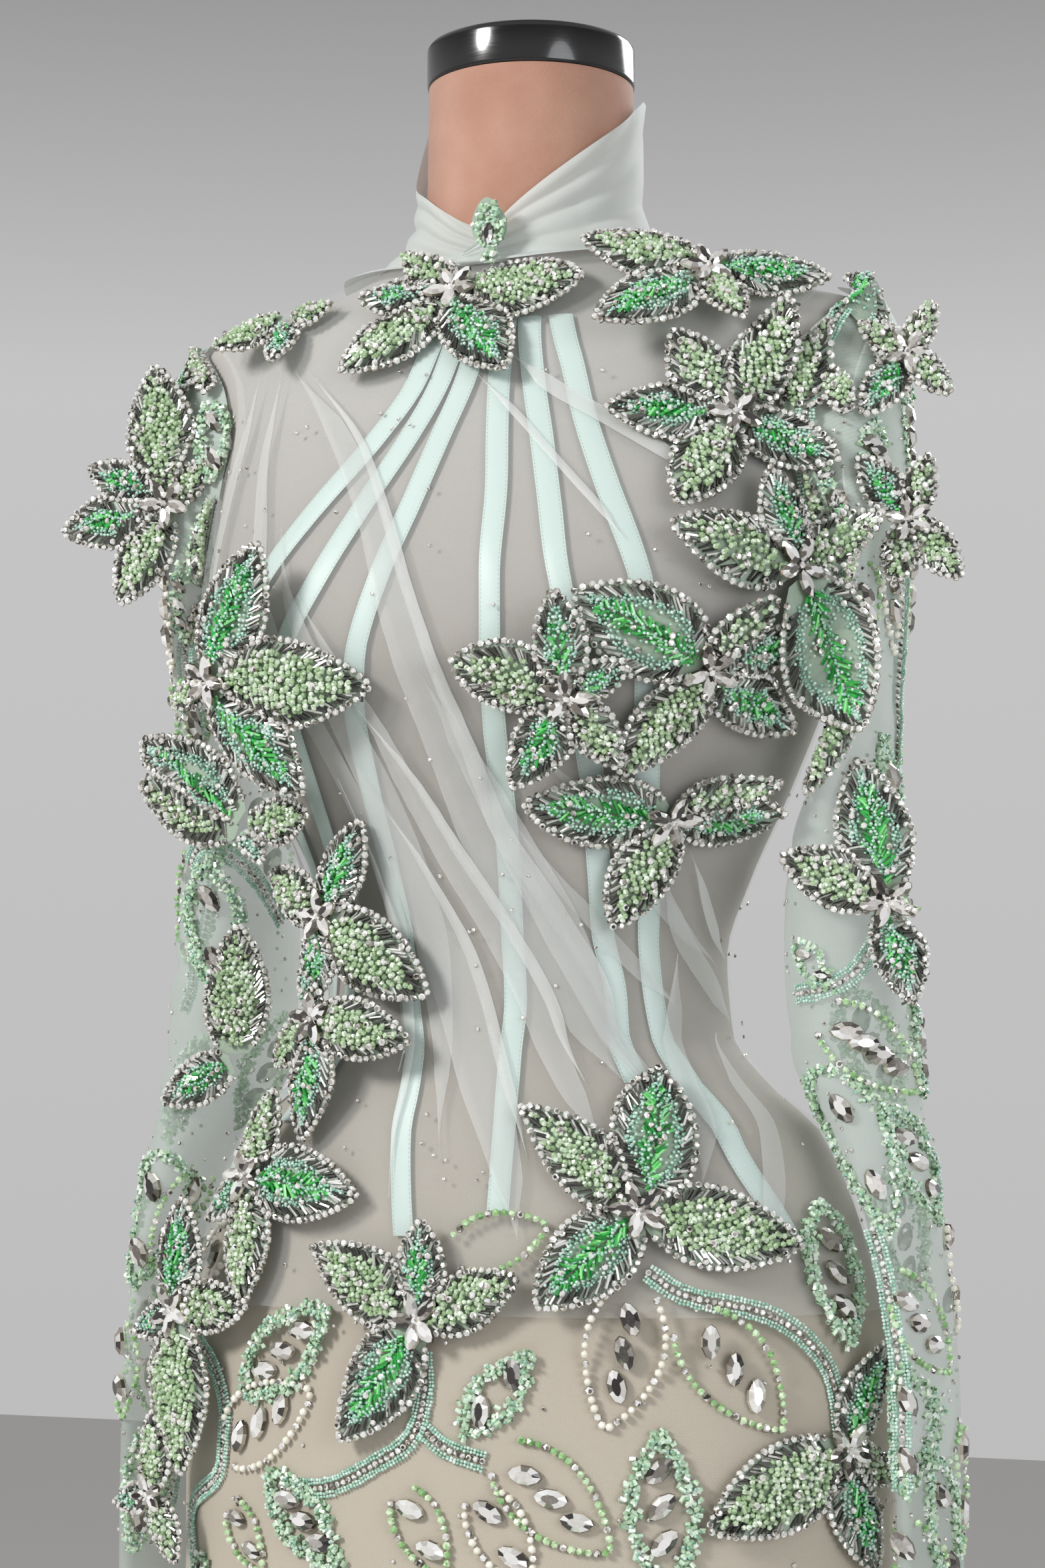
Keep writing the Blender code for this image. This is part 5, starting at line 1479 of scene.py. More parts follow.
def stones(work, axes, size, rng):
    """Clear stones in cups, each at its own turn and slightly tipped."""
    here, along, side, up = axes
    many = len(here)
    one, other = turned_ways(along, side, rng.uniform(0, FULL_TURN, many))
    tipped = one * rng.normal(0, STONE_LEAN, many)[:, None] + other * rng.normal(0, STONE_LEAN, many)[:, None]
    lean = unit(up + tipped)
    one = unit(one - lean * (one * lean).sum(-1, keepdims=True))
    sizes = size * rng.uniform(0.90, 1.08, (many, 1)) * np.ones(3)
    # Each stone's tone and the sparkle paint its reflections into its colour.
    work.sew(CUT_STONE, here, one, np.cross(lean, one), lean, sizes, [CUP, CLEAR, CLEAR],
             rng.uniform(*STONE_REFLECTION_TONES, many), STONE_SPARKLE)


def tubes(work, axes, way_run, way_wide, long, thick, tilt, finish, tone):
    """Tube beads from a place in a direction of the leaf's own plane; tilt lifts their far end."""
    here, along, side, up = axes
    way = unit(along * way_run[:, None] + side * way_wide[:, None])
    way = unit(way + up * tilt[:, None])
    across = unit(np.cross(up, way))
    many = len(here)
    sizes = np.stack([long, np.full(many, thick), np.full(many, thick)], -1)
    # The 0.16 spread of tone from side to side paints glints along each tube and sequin.
    work.sew(TUBE_BEAD, here + way * (long / 2)[:, None], way, across, np.cross(way, across), sizes, [finish],
             tone, 0.16)


def balls(work, axes, size, finish, rng, smooth=False, low=0.2, high=1.0):
    """Round beads whose tones lie between low and high."""
    here, along, side, up = axes
    many = len(here)
    one, other = turned_ways(along, side, rng.uniform(0, FULL_TURN, many))
    sizes = size * rng.uniform(0.88, 1.1, (many, 1)) * np.ones(3)
    # Faceted beads get a 0.2 spread of tone from facet to facet, which paints their reflections; smooth ones
    # get none.
    work.sew(ROUND_BEAD, here, one, other, up, sizes, [finish], rng.uniform(low, high, many),
             0.0 if smooth else 0.2, smooth=smooth)


def seeds(work, axes, rng, low=0.2, high=1.0):
    """Smooth mint seed beads."""
    balls(work, axes, SEED, MINT_SEED, rng, smooth=True, low=low, high=high)


def fill_places(leaf, pitch, inset, rng, first=0.12, last=0.97):
    """Jittered rows of places inside the leaf, clear of its edge."""
    runs = np.arange(first * leaf.long, last * leaf.long, pitch * 0.87)
    places = []
    for k, run in enumerate(runs):
        low, high = -leaf.edge(run, -1) + inset, leaf.edge(run, 1) - inset
        if high - low < -0.5 * pitch:
            continue
        middle, half = (low + high) / 2, max((high - low) / 2, 0.0)
        wides = np.arange(-half + pitch / 2 * (k % 2), half + 1e-6, pitch) if half > 0 else np.zeros(1)
        places += [(run, middle + wide) for wide in wides]
    places = np.array(places) if places else np.zeros((0, 2))
    return places + rng.normal(0, pitch * 0.13, places.shape)


def sew_edge(work, leaf, k, rng):
    """The chain of stones and the slanted tubes behind it; k is the leaf's size, 1 for a full one."""
    line, ahead, inward = leaf.outline(0.0)
    at, = spaced(line, STONE * CHAIN_PITCH)
    stones(work, leaf.at(at, CHAIN_HIGH), STONE, rng)
    second, = spaced(leaf.outline(SECOND_CHAIN_IN)[0], STONE * SECOND_CHAIN_PITCH)
    second = second + rng.normal(0, 0.0007, second.shape)
    stones(work, leaf.at(second, SECOND_CHAIN_HIGH), STONE * 0.9, rng)
    start, ahead_at, inward_at = spaced(leaf.outline(EDGE_TO_TUBES * k)[0], TUBE_PITCH, ahead, inward)
    count = len(start)
    toward_root = np.where(np.arange(count) < count / 2, -1.0, 1.0)
    slant = np.radians(rng.normal(*TUBE_SLANT, count))
    way = (unit(ahead_at) * (toward_root * np.cos(slant))[:, None] + unit(inward_at) * np.sin(slant)[:, None])
    kept = (rng.uniform(0, 1, count) < TUBES_KEPT) & (start[:, 0] > TUBES_FROM * leaf.long)
    bright = rng.uniform(0, 1, count) < BRIGHT_SHARE
    tone = np.where(bright, rng.uniform(*BRIGHT_TONES, count), rng.uniform(*DULL_TONES, count))
    long = TUBE_LONG * k * rng.uniform(0.86, 1.08, count)
    out = rng.uniform(0.0008, 0.0020, count)
    tilt = rng.normal(-0.02, 0.09, count)
    tubes(work, leaf.at(start[kept], out[kept]), way[kept, 0], way[kept, 1], long[kept], TUBE_THICK,
          tilt[kept], DARK_TUBE, tone[kept])


def some_of(places, leaf, many, few, rng):
    """Random places for single stones: many on a long leaf and few on a short one."""
    count = min(len(places), many if leaf.long > LONG_LEAF else few)
    return places[rng.choice(len(places), count, replace=False)]


def sew_pale_leaf(work, leaf, k, rng):
    """Pale green glass beads heaped in the middle, with a few stones among them."""
    sew_edge(work, leaf, k, rng)
    places = fill_places(leaf, PALE_BEAD * 0.97, EDGE_TO_FILL * k, rng)
    if len(places) == 0:
        return
    inner = 1 - np.abs(places[:, 1]) / (PETAL_SHARE / 2 * leaf.long)
    balls(work, leaf.at(places, PALE_HIGH + PALE_HEAP * inner), PALE_BEAD, PALE_GLASS, rng)
    heap = places[rng.uniform(0, 1, len(places)) < 0.55] + PALE_BEAD * 0.4
    balls(work, leaf.at(heap, PALE_TOP_HIGH), PALE_BEAD * 0.95, PALE_GLASS, rng, low=0.4)
    stones(work, leaf.at(some_of(places, leaf, 9, 4, rng), PALE_STONE_HIGH), STONE, rng)


def sew_green_leaf(work, leaf, k, rng):
    """Rings of mint seed beads round bright green tubes that slant up either side of a raised, wavy vein."""
    sew_edge(work, leaf, k, rng)
    for row, inset in enumerate(EDGE_TO_FILL * k + np.array(SEED_ROWS)):
        ring, = spaced(leaf.outline(inset)[0], SEED * (1.0 + 0.18 * row))
        kept = ((ring[:, 0] > 0.14 * leaf.long) & (ring[:, 0] < 0.99 * leaf.long)
                & (ring[:, 1] > -leaf.edge(ring[:, 0], -1) + 0.8 * inset)
                & (ring[:, 1] < leaf.edge(ring[:, 0], 1) - 0.8 * inset))
        ring = ring[kept]
        wander = rng.normal(0, 0.0004, len(ring))
        seeds(work, leaf.axes(ring[:, 0], ring[:, 1] + wander, 0.0014 + 0.0004 * row), rng)
    runs = np.arange(0.14 * leaf.long, 0.88 * leaf.long, GREEN_PITCH)
    for side in (-1, 1):
        room = leaf.edge(runs, side) - EDGE_TO_FILL * k - 0.0026
        kept = room > 0.0010
        run, space = runs[kept], room[kept]
        many = len(run)
        if many == 0:
            continue
        slant = np.radians(np.clip(rng.normal(*GREEN_SLANT, many), 18, 75))
        long = np.minimum(space / np.sin(slant), GREEN_LONG) * rng.uniform(0.7, 1.1, many)
        start = side * rng.uniform(0.0002, 0.0014, many)
        tubes(work, leaf.axes(run - 0.002, start, rng.uniform(0.0010, 0.0032, many)), np.cos(slant),
              side * np.sin(slant), long, GREEN_TUBE, rng.normal(-0.05, 0.16, many), GREEN,
              rng.uniform(0.0, 1.0, many))
    vein = np.arange(0.18 * leaf.long, 0.82 * leaf.long, SEED * 0.8)
    wave = VEIN_WAVE * np.sin(vein / leaf.long * 13 + 3 * k) + rng.normal(0, 0.0011, len(vein))
    seeds(work, leaf.axes(vein, wave, rng.uniform(0.0030, 0.0044, len(vein))), rng, 0.3, 0.9)
    loose = fill_places(leaf, 0.0034, EDGE_TO_FILL * k + 0.0006, rng, first=0.15, last=0.93)
    if len(loose):
        loose = loose[rng.uniform(0, 1, len(loose)) < 0.60]
        seeds(work, leaf.at(loose, rng.uniform(0.0026, 0.0042, len(loose))), rng, 0.3)
        stones(work, leaf.at(some_of(loose, leaf, 7, 3, rng), GREEN_STONE_HIGH), STONE * 0.92, rng)


def sew_mint_leaf(work, leaf, rng, band=None):
    """Mint tubes and sequins, over all of a small leaf or in a band along the edge of a large one."""
    for level in SEQUIN_LEVELS:
        places = fill_places(leaf, SEQUIN_PITCH, 0.0012, rng, first=0.03, last=0.99)
        if band:
            inner = np.minimum(leaf.edge(places[:, 0], 1), leaf.edge(places[:, 0], -1)) - np.abs(places[:, 1])
            near_end = (places[:, 0] > leaf.long - 1.2 * band) | (places[:, 0] < 0.7 * band)
            places = places[(inner < band * rng.uniform(0.75, 1.1, len(places))) | near_end]
        many = len(places)
        way = rng.uniform(0, FULL_TURN, many)
        tubes(work, leaf.at(places, level), np.cos(way), np.sin(way), rng.uniform(0.0022, 0.0034, many),
              SEQUIN_THICK, rng.normal(0, 0.30, many), SEQUIN, rng.uniform(0.1, 1.0, many))
    chosen = rng.uniform(0, 1, many) < 0.35
    seeds(work, leaf.at(places[chosen], 0.0034), rng)


def pointed_stones(work, here, along, up, long, wide, rng):
    """Clear stones that are pointed at both ends, in cups."""
    across = unit(np.cross(up, along))
    many = len(here)
    sizes = np.tile([long, wide, wide * 1.05], (many, 1))
    # The tones and sparkle paint the pointed stones' bright and dark reflections into their colour.
    work.sew(POINTED_STONE, here, along, across, np.cross(along, across), sizes, [CUP, CLEAR, CLEAR],
             rng.uniform(*POINTED_REFLECTION_TONES, many), POINTED_SPARKLE)


def sew_star(work, place, lift, rng, scale):
    """Star of five pointed stones round a small one, over the place where the leaves meet."""
    ways = np.radians(90 * rng.uniform(0, 1) + 72 * np.arange(5) + rng.normal(0, 6, 5))
    reach = STAR_REACH * scale
    across, up = reach * np.cos(ways), reach * np.sin(ways)
    here = place(across, up, lift + STAR_HIGH)
    centre = place(0.0, 0.0, lift + STAR_CENTRE_HIGH)
    normal = unit(place(0.0, 0.0, lift + 0.010) - centre)
    along = unit(here - centre + normal * 0.0006)
    upright = np.broadcast_to(normal, here.shape) - along * (along @ normal)[:, None]
    pointed_stones(work, here, along, unit(upright), STAR_LONG * scale, STAR_WIDE * scale, rng)
    side = unit(np.cross(normal, along[:1]))
    # The tone 0.8 and spread 0.3 paint the centre stone's reflections into its colour.
    work.sew(CUT_STONE, centre[None] + normal * 0.001, along[:1], side, np.cross(along[:1], side),
             np.array([[STONE, STONE, STONE]]), [CUP, CLEAR, CLEAR], np.array([0.8]), 0.3)


def sew_leaf_net(work, leaf):
    """The leaf's own stiff net, just past its edge."""
    run = np.linspace(0.05, 1.0, 22) * leaf.long
    shares = np.linspace(-1, 1, 9)
    right, left = leaf.edge(run, -1) + NET_PAST_BEADS, leaf.edge(run, 1) + NET_PAST_BEADS
    wide = np.where(shares < 0, shares * right[:, None], shares * left[:, None])
    work.stretch(leaf.axes(run[:, None], wide, NET_UNDER_BEADS)[0], 0.5)


def leaf_size(long):
    """Size of a leaf's beadwork, 1 where the leaf is wide enough for all its rows."""
    return min(1.0, PETAL_SHARE / 2 * long / FULL_LEAF)


def sew_flower(row, seed):
    """One leaf flower: its leaves in turn, each with its own net and beads, and then its star."""
    rng = np.random.default_rng(seed)
    place = {"body": on_body, "air": in_air}[row.ground](*row.place)
    lift = row.layer * FLOWER_LAYER
    work = Beadwork(seed + 500)
    petals = sorted((angle % 360, number, long / 1000, kind)
                    for number, (angle, long, kind) in enumerate(row.petals))
    count = len(petals)
    gaps = [(petals[(k + 1) % count][0] - petals[k][0]) % 360 or 360 for k in range(count)]
    for k, (angle, number, long, kind) in enumerate(petals):
        tip = CURLED.get((row.name, number), TIP_LIFT * rng.uniform(0.6, 1.3))
        bend = rng.normal(0, 0.0012) if kind != "M" else 0.0
        leaf_lift = lift + LEAF_OVERLAP * (k % 2)
        leaf = Leaf(place, math.radians(angle), long, leaf_lift, tip, gaps[k - 1], gaps[k], bend)
        sew_leaf_net(work, leaf)
        if kind == "P":
            sew_pale_leaf(work, leaf, leaf_size(long), rng)
        elif kind == "G":
            sew_green_leaf(work, leaf, leaf_size(long), rng)
        else:
            sew_mint_leaf(work, leaf, rng)
    if row.star:
        longest = max(petal[2] for petal in petals)
        sew_star(work, place, lift, rng, 1.0 if longest > SMALL_STAR_LEAVES else SMALL_STAR)
    if row.name == "collar_leaf":
        middle, up_it = np.array([0.0]), np.array([COLLAR_STONE_UP])
        here = place(middle, up_it, lift + 0.0034)
        up = unit(place(middle, up_it, lift + 0.01) - here)
        pointed_stones(work, here, np.array([[0.0, 0.0, 1.0]]), up, *COLLAR_STONE, rng)
    made = work.piece("leaf_flower_" + row.name)
    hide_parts("flower_" + row.name)
    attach(made, "root")


for number, row in enumerate(FLOWERS):
    sew_flower(row, 40 + number)

# Flat leaves, stems and loose stones
# Leaves sewn straight on the net: an outline of pearls, of green crystals or of mint tubes with a row of
# large pointed stones inside, or filled like a flower's leaf.  Stems are a row of stones between seed beads.
FlatLeaf = namedtuple("FlatLeaf", "root tip kind pointed tilt")
FLAT_LEAVES = {
    "body": [
        FlatLeaf((2, 0.869), (13, 0.910), "mint", 2, 40),
        FlatLeaf((-40, 0.881), (-20, 0.928), "mint", 3, -35),
        FlatLeaf((-47, 0.851), (-24, 0.886), "pearl", 3, 45),
        FlatLeaf((-44, 0.830), (-34, 0.797), "green", 2, 30),
        FlatLeaf((-33, 0.845), (-17, 0.802), "mint", 3, 35),
        FlatLeaf((-8, 0.845), (0, 0.803), "green", 2, 40),
        FlatLeaf((4, 0.847), (13, 0.800), "pearl", 2, 30),
        FlatLeaf((7, 0.865), (25, 0.817), "green", 3, 32),
        FlatLeaf((30, 0.944), (24, 0.874), "pearl", 3, 28),
        FlatLeaf((36, 0.930), (54, 0.873), "green", 3, -42),
        FlatLeaf((34, 0.800), (32, 0.876), "mint", 3, -50),
        FlatLeaf((71, 0.979), (70, 0.908), "mint", 3, 45),
        FlatLeaf((-1, 0.953), (16, 0.968), "green", 0, 0),
        FlatLeaf((-62, 0.930), (-48, 0.965), "pearl", 1, 30),
        FlatLeaf((20, 0.790), (12, 0.762), "mint", 1, 30),
        FlatLeaf((-52, 0.800), (-60, 0.765), "mint", 2, 30),
        FlatLeaf((112, 0.940), (126, 0.880), "pearl", 3, 30),
        FlatLeaf((140, 0.900), (152, 0.962), "green", 3, 35),
        FlatLeaf((165, 0.860), (152, 0.800), "mint", 3, 30),
        FlatLeaf((-112, 0.930), (-126, 0.872), "mint", 3, 30),
        FlatLeaf((-140, 0.890), (-153, 0.950), "pearl", 3, 30),
        FlatLeaf((-164, 0.850), (-150, 0.792), "green", 3, 35),
    ],
    "left": [
        FlatLeaf((100, 0.580), (8, 0.642), "green", 4, 35),
        FlatLeaf((101, 0.622), (76, 0.742), "mint", 2, 10),
        FlatLeaf((55, 0.654), (-2, 0.735), "mint", 3, 40),
        FlatLeaf((118, 0.530), (80, 0.566), "mint", 2, 40),
        FlatLeaf((80, 0.815), (84, 0.895), "mint", 2, 30),
        FlatLeaf((93, 0.760), (8, 0.824), "green", 3, 35),
        FlatLeaf((40, 0.870), (10, 0.955), "mint", 2, 30),
        FlatLeaf((110, 0.900), (60, 0.965), "green", 2, 30),
        FlatLeaf((132, -0.075), (92, -0.060), "P", 0, 0),
        FlatLeaf((86, -0.055), (46, -0.050), "P", 0, 0),
        FlatLeaf((120, -0.030), (98, 0.020), "mint", 1, 35),
        FlatLeaf((40, -0.060), (10, -0.030), "G", 0, 0),
        FlatLeaf((136, 0.020), (122, 0.115), "P", 0, 0),
        FlatLeaf((104, 0.005), (92, 0.085), "mint", 2, 35),
        FlatLeaf((70, 0.010), (60, 0.095), "P", 2, 35),
        FlatLeaf((34, 0.030), (20, 0.110), "G", 0, 0),
        FlatLeaf((112, 0.095), (84, 0.165), "G", 0, 0),
        FlatLeaf((128, 0.150), (138, 0.235), "P", 0, 0),
        FlatLeaf((100, 0.180), (76, 0.265), "P", 0, 0),
        FlatLeaf((58, 0.130), (30, 0.210), "mint", 3, 40),
        FlatLeaf((124, 0.255), (98, 0.345), "mint", 3, 35),
        FlatLeaf((66, 0.270), (36, 0.360), "green", 3, 35),
        FlatLeaf((20, 0.260), (-4, 0.350), "pearl", 3, 35),
        FlatLeaf((82, 0.345), (104, 0.430), "P", 0, 0),
        FlatLeaf((16, 0.400), (-10, 0.500), "mint", 2, 30),
        FlatLeaf((-60, 0.380), (-95, 0.470), "green", 3, 35),
        FlatLeaf((-110, 0.560), (-80, 0.660), "mint", 3, 30),
        FlatLeaf((-50, 0.720), (-85, 0.810), "pearl", 2, 30),
        FlatLeaf((-28, 0.060), (-52, 0.145), "G", 0, 0),
        FlatLeaf((2, 0.130), (-22, 0.215), "mint", 3, 35),
        FlatLeaf((-44, 0.235), (-72, 0.320), "green", 3, 35),
        FlatLeaf((-96, 0.110), (-124, 0.195), "P", 0, 0),
        FlatLeaf((-24, 0.560), (2, 0.650), "mint", 3, 30),
        FlatLeaf((-30, 0.850), (-4, 0.930), "green", 2, 30),
        FlatLeaf((-120, 0.700), (-146, 0.790), "mint", 3, 35),
    ],
    "right": [
        FlatLeaf((91, 0.420), (114, 0.476), "mint", 0, 0),
        FlatLeaf((93, 0.470), (108, 0.566), "mint", 2, 30),
        FlatLeaf((88, 0.690), (92, 0.786), "mint", 2, 30),
        FlatLeaf((150, 0.700), (118, 0.770), "green", 2, 30),
        FlatLeaf((60, 0.800), (84, 0.868), "green", 2, 30),
        FlatLeaf((140, 0.870), (110, 0.950), "mint", 2, 30),
        FlatLeaf((60, -0.060), (96, -0.050), "mint", 2, 35),
        FlatLeaf((100, -0.060), (134, -0.050), "P", 0, 0),
        FlatLeaf((58, 0.020), (76, 0.105), "P", 0, 0),
        FlatLeaf((104, 0.010), (118, 0.090), "mint", 2, 40),
        FlatLeaf((142, 0.060), (128, 0.150), "P", 0, 0),
        FlatLeaf((100, 0.120), (118, 0.215), "mint", 3, 40),
        FlatLeaf((150, 0.170), (136, 0.250), "mint", 2, 40),
        FlatLeaf((62, 0.200), (86, 0.310), "pearl", 3, 35),
        FlatLeaf((136, 0.260), (112, 0.370), "green", 3, 35),
        FlatLeaf((40, 0.330), (66, 0.420), "green", 2, 35),
        FlatLeaf((-60, 0.400), (-95, 0.490), "green", 3, 35),
        FlatLeaf((-110, 0.580), (-80, 0.680), "mint", 3, 30),
        FlatLeaf((-50, 0.740), (-85, 0.830), "pearl", 2, 30),
        FlatLeaf((22, -0.055), (58, -0.050), "P", 0, 0),
        FlatLeaf((34, 0.010), (52, 0.095), "G", 0, 0),
        FlatLeaf((10, 0.050), (-4, 0.135), "mint", 3, 35),
        FlatLeaf((22, 0.170), (0, 0.260), "green", 3, 35),
        FlatLeaf((-34, 0.090), (-58, 0.175), "P", 0, 0),
        FlatLeaf((-30, 0.270), (-8, 0.360), "mint", 3, 35),
        FlatLeaf((12, 0.450), (-14, 0.545), "green", 3, 30),
        FlatLeaf((-30, 0.600), (0, 0.690), "mint", 3, 35),
        FlatLeaf((14, 0.780), (-8, 0.870), "green", 2, 30),
        FlatLeaf((-100, 0.200), (-128, 0.290), "green", 3, 35),
    ],
}
PEARL_PITCH = 1.04
PEARL_HIGH = 0.0018
FLAT_STONE_HIGH = 0.0006
POINTED_ROW = (0.28, 0.72)
POINTED_HIGH = 0.0010
MINT_BAND = 0.0078
MINT_BAND_SHARE = 0.13
FLAT_SHARE = 0.50
FLAT_FULL = 0.052
STEM_ROWS = (-0.0042, -0.0027, 0.0027, 0.0042)
STEM_STONES = 0.84
STEM_STONE_PITCH = 0.86
STEM_SEED_PITCH = 0.92
POINTED_LONG = 0.0165
POINTED_WIDE = 0.0088
PEARL_BEAD = 0.0042
LOOSE_STONE = 0.0022
CRYSTAL = 0.0040
STEMS = {
    "body": [
        [(-4, 0.907), (-4, 0.885), (-6, 0.866), (-12, 0.853), (-20, 0.841), (-30, 0.838)],
        [(-4, 0.871), (0, 0.862), (6, 0.857)],
        [(-57, 0.905), (-50, 0.893), (-46, 0.876), (-46, 0.858), (-48, 0.839), (-60, 0.820), (-58, 0.790)],
        [(32, 0.946), (38, 0.935), (52, 0.926), (61, 0.910), (66, 0.893), (68, 0.868)],
        [(94, 0.975), (92, 0.948), (95, 0.920), (93, 0.890)],
        [(104, 0.960), (118, 0.948), (132, 0.925), (142, 0.898), (150, 0.860), (164, 0.836)],
        [(-104, 0.950), (-118, 0.938), (-132, 0.915), (-142, 0.888), (-150, 0.850), (-164, 0.826)],
    ],
    "left": [
        [(33, 0.515), (52, 0.545), (81, 0.563), (122, 0.570)],
        [(104, 0.735), (98, 0.780), (92, 0.830), (96, 0.890)],
        [(150, -0.030), (120, -0.020), (90, -0.015), (60, -0.015), (36, -0.030)],
        [(134, 0.015), (116, 0.090), (102, 0.170), (98, 0.260), (108, 0.340)],
        [(4, 0.240), (-22, 0.330), (-30, 0.430), (-14, 0.540)],
    ],
    "right": [
        [(150, 0.040), (132, 0.140), (122, 0.240), (128, 0.340)],
        [(-4, 0.150), (-22, 0.250), (-34, 0.380), (-20, 0.500), (-4, 0.580)],
        [(66, 0.474), (85, 0.462), (108, 0.460), (140, 0.478), (170, 0.512)],
        [(140, 0.850), (152, 0.868), (165, 0.896), (150, 0.940)],
    ],
}
LooseStones = namedtuple("LooseStones", "first last low high many")
LOOSE_STONES = {
    "body": [
        LooseStones(-60, 60, 0.97, 1.39, 110),
        LooseStones(-70, 95, 0.80, 0.96, 60),
        LooseStones(70, 180, 0.80, 1.30, 80),
        LooseStones(-180, -70, 0.80, 1.30, 80),
    ],
    "left": [
        LooseStones(-20, 160, 0.05, 0.98, 200),
        LooseStones(160, 340, 0.05, 0.98, 90),
    ],
    "right": [
        LooseStones(20, 200, 0.05, 0.98, 200),
        LooseStones(200, 380, 0.05, 0.98, 90),
    ],
}
FLAT_LOWER = 0.0012
STEP_ASIDE = (0.5, 0.002)
STEP_OUT = 0.004


def on_net(angle, height, out):
    """Points for what is sewn straight on the net, a little lower than a flower."""
    return on_dress(angle, height, out - FLAT_LOWER)


SURFACES = {"body": on_net, "left": on_sleeve(1), "right": on_sleeve(-1)}


def sewn_place(ground, root, tip):
    """Function that places local points round a leaf's root, with its run towards the tip, and its length.

    A step across or up is turned into the surface's own two measures there.
    """
    surface = SURFACES[ground]
    middle = np.array([(a + b) / 2 for a, b in zip(root, tip)])
    ways = []
    for step in np.diag(STEP_ASIDE):
        ahead, behind = surface(*(middle + step), 0.0), surface(*(middle - step), 0.0)
        ways.append((ahead - behind) / (2 * step.sum()))
    first_scale, second_scale = np.linalg.norm(ways[0]), np.linalg.norm(ways[1])
    outward = surface(*middle, STEP_OUT) - surface(*middle, 0.0)
    turned = 1.0 if np.cross(ways[0], ways[1]) @ outward > 0 else -1.0

    def place(across, up, out):
        across, up, out = together(across, up, out)
        return surface(root[0] + turned * across / first_scale, root[1] + up / second_scale, out)
    return place, turned * (tip[0] - root[0]) * first_scale, (tip[1] - root[1]) * second_scale


class Stem:
    """Smooth line on the cloth: run goes along it and wide to its left."""

    def __init__(self, surface, path):
        line = line_through(path, 16 * len(path))
        self.here = surface(line[:, 0], line[:, 1], 0.0)
        self.up = unit(surface(line[:, 0], line[:, 1], STEP_OUT) - self.here)
        self.ahead = unit(np.gradient(self.here, axis=0))
        steps = np.linalg.norm(np.diff(self.here, axis=0), axis=-1)
        self.run = np.concatenate([[0.0], np.cumsum(steps)])

    def axes(self, run, wide, out):
        """Place, and the ways along, to the left of and out from the line there."""
        here, up, ahead = (np.stack([np.interp(run, self.run, rows[:, k]) for k in range(3)], -1)
                           for rows in (self.here, self.up, self.ahead))
        side = unit(np.cross(up, ahead))
        return here + side * np.asarray(wide)[..., None] + up * np.asarray(out)[..., None], ahead, side, up


def sew_stem(work, stem, rng):
    """A row of stones with two lines of seed beads on either side."""
    long = stem.run[-1]
    middle = np.arange(0.0, long, STONE * STEM_STONE_PITCH)
    stones(work, stem.axes(middle, 0 * middle, 0 * middle + 0.0004), STONE * STEM_STONES, rng)
    for wide in STEM_ROWS:
        line = np.arange(0.0, long, SEED * STEM_SEED_PITCH)
        wander = rng.normal(0, 0.0002, len(line))
        seeds(work, stem.axes(line, wide + wander, 0 * line + 0.0010), rng, 0.3)


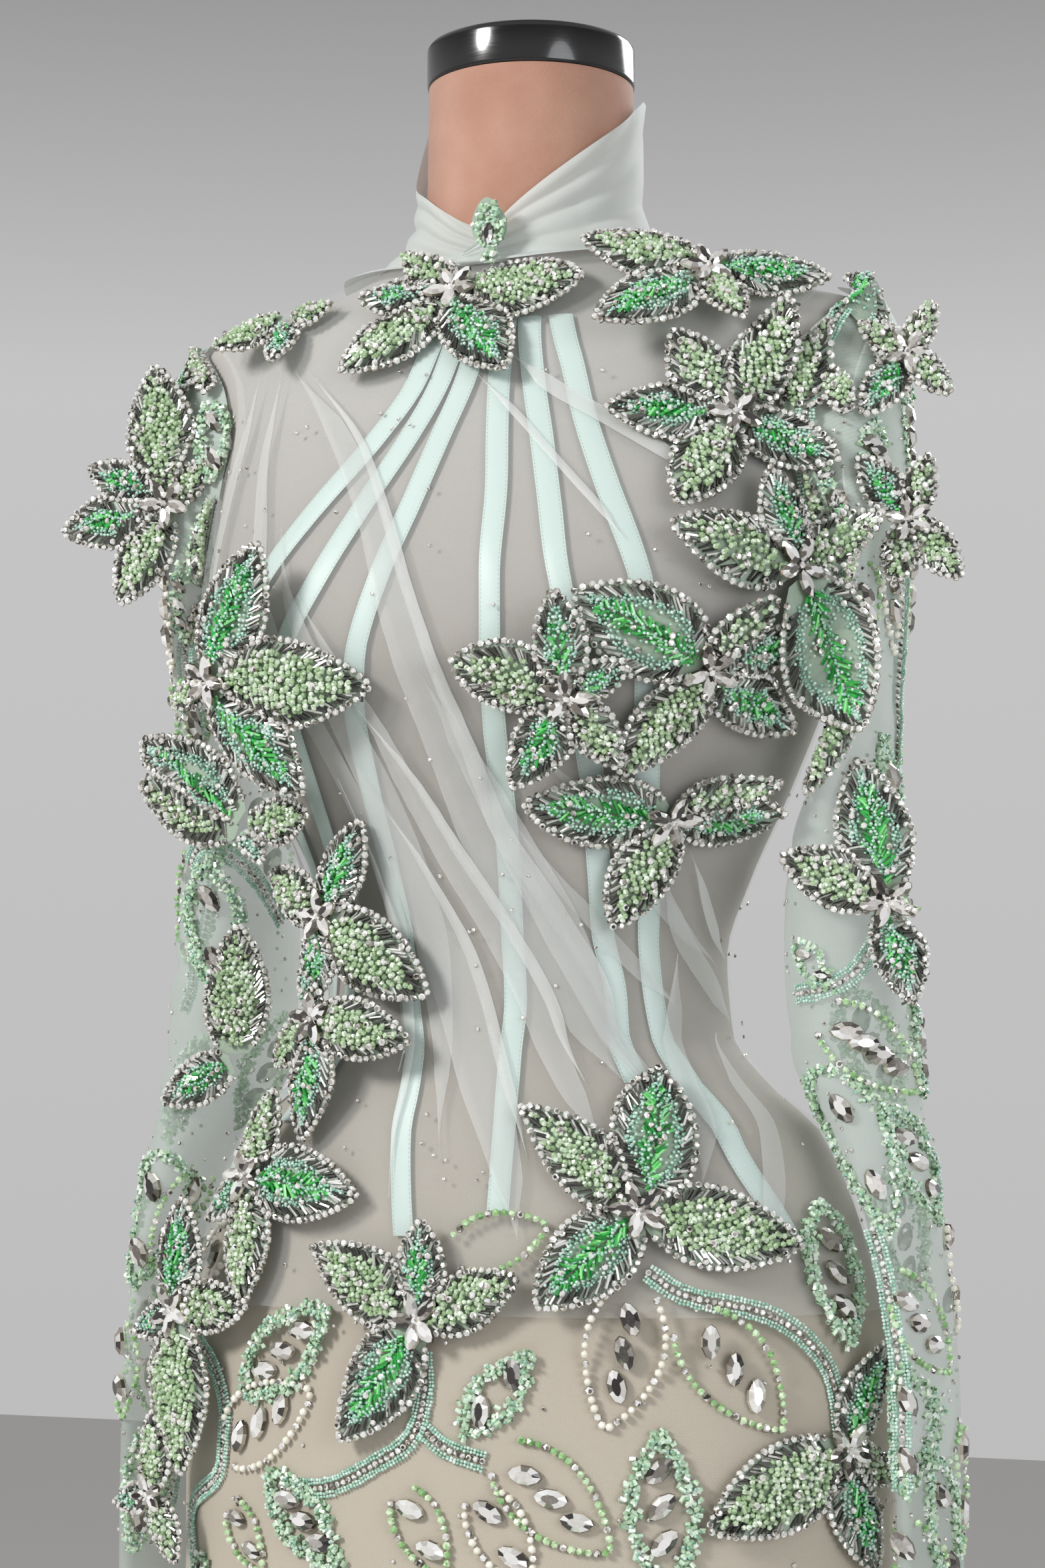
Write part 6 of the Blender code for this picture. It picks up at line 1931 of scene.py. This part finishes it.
def sew_flat_leaf(work, ground, row, rng):
    """Leaf like a flower's (P pale, G green), or an outline of beads with pointed stones inside."""
    place, across, up = sewn_place(ground, row.root, row.tip)
    long = math.hypot(across, up)
    if row.kind in "PG":
        leaf = Leaf(place, math.atan2(up, across), long, 0.0, TIP_LIFT, 360, 360, 0.0)
        sew_leaf_net(work, leaf)
        sew = sew_pale_leaf if row.kind == "P" else sew_green_leaf
        sew(work, leaf, leaf_size(long), rng)
        return
    leaf = Leaf(place, math.atan2(up, across), long, 0.0, 0.0, 360, 360, 0.0, FLAT_SHARE)
    leaf.flatten()
    if row.kind == "mint":
        sew_mint_leaf(work, leaf, rng, min(MINT_BAND, MINT_BAND_SHARE * long) if row.pointed else None)
    else:
        pearl = row.kind == "pearl"
        size, finish, every = (PEARL_BEAD, PEARL, 3) if pearl else (CRYSTAL, GREEN_CRYSTAL, 4)
        at, = spaced(leaf.outline(0.0)[0], size * PEARL_PITCH)
        stone_here = np.arange(len(at)) % every == 0
        balls(work, leaf.at(at[~stone_here], PEARL_HIGH), size, finish, rng, smooth=pearl, low=0.35)
        stones(work, leaf.at(at[stone_here], FLAT_STONE_HIGH), STONE * 1.05, rng)
    if row.pointed:
        shares = np.linspace(*POINTED_ROW, row.pointed) if row.pointed > 1 else np.array([0.5])
        lean = math.radians(row.tilt)
        here, along, side, upward = leaf.axes(shares * long, 0 * shares, POINTED_HIGH)
        fit = min(1.0, long / FLAT_FULL)
        pointed_stones(work, here, along * math.cos(lean) + side * math.sin(lean), upward, POINTED_LONG * fit,
                       POINTED_WIDE * fit, rng)


def sew_loose_stones(work, ground, row, rng):
    """Small stones scattered over a stretch of the cloth."""
    first = rng.uniform(row.first, row.last, row.many)
    second = rng.uniform(row.low, row.high, row.many)
    here = SURFACES[ground](first, second, 0.0)
    up = unit(SURFACES[ground](first, second, STEP_OUT) - here)
    along = unit(np.cross(up, [0.0, 0.0, 1.0]))
    stones(work, (here, along, np.cross(up, along), up), LOOSE_STONE, rng)


FlatWork = namedtuple("FlatWork", "ground name leaf_seed bead_seed")
for flat_work in (FlatWork("body", "skirt_flat_leaves", 301, 401),
                  FlatWork("left", "left_sleeve_flat_leaves", 302, 402),
                  FlatWork("right", "right_sleeve_flat_leaves", 303, 403)):
    rng = np.random.default_rng(flat_work.leaf_seed)
    work = Beadwork(flat_work.bead_seed)
    for row in FLAT_LEAVES[flat_work.ground]:
        sew_flat_leaf(work, flat_work.ground, row, rng)
    for path in STEMS[flat_work.ground]:
        sew_stem(work, Stem(SURFACES[flat_work.ground], path), rng)
    for row in LOOSE_STONES[flat_work.ground]:
        sew_loose_stones(work, flat_work.ground, row, rng)
    made = work.piece(flat_work.name)
    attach(made, "root")
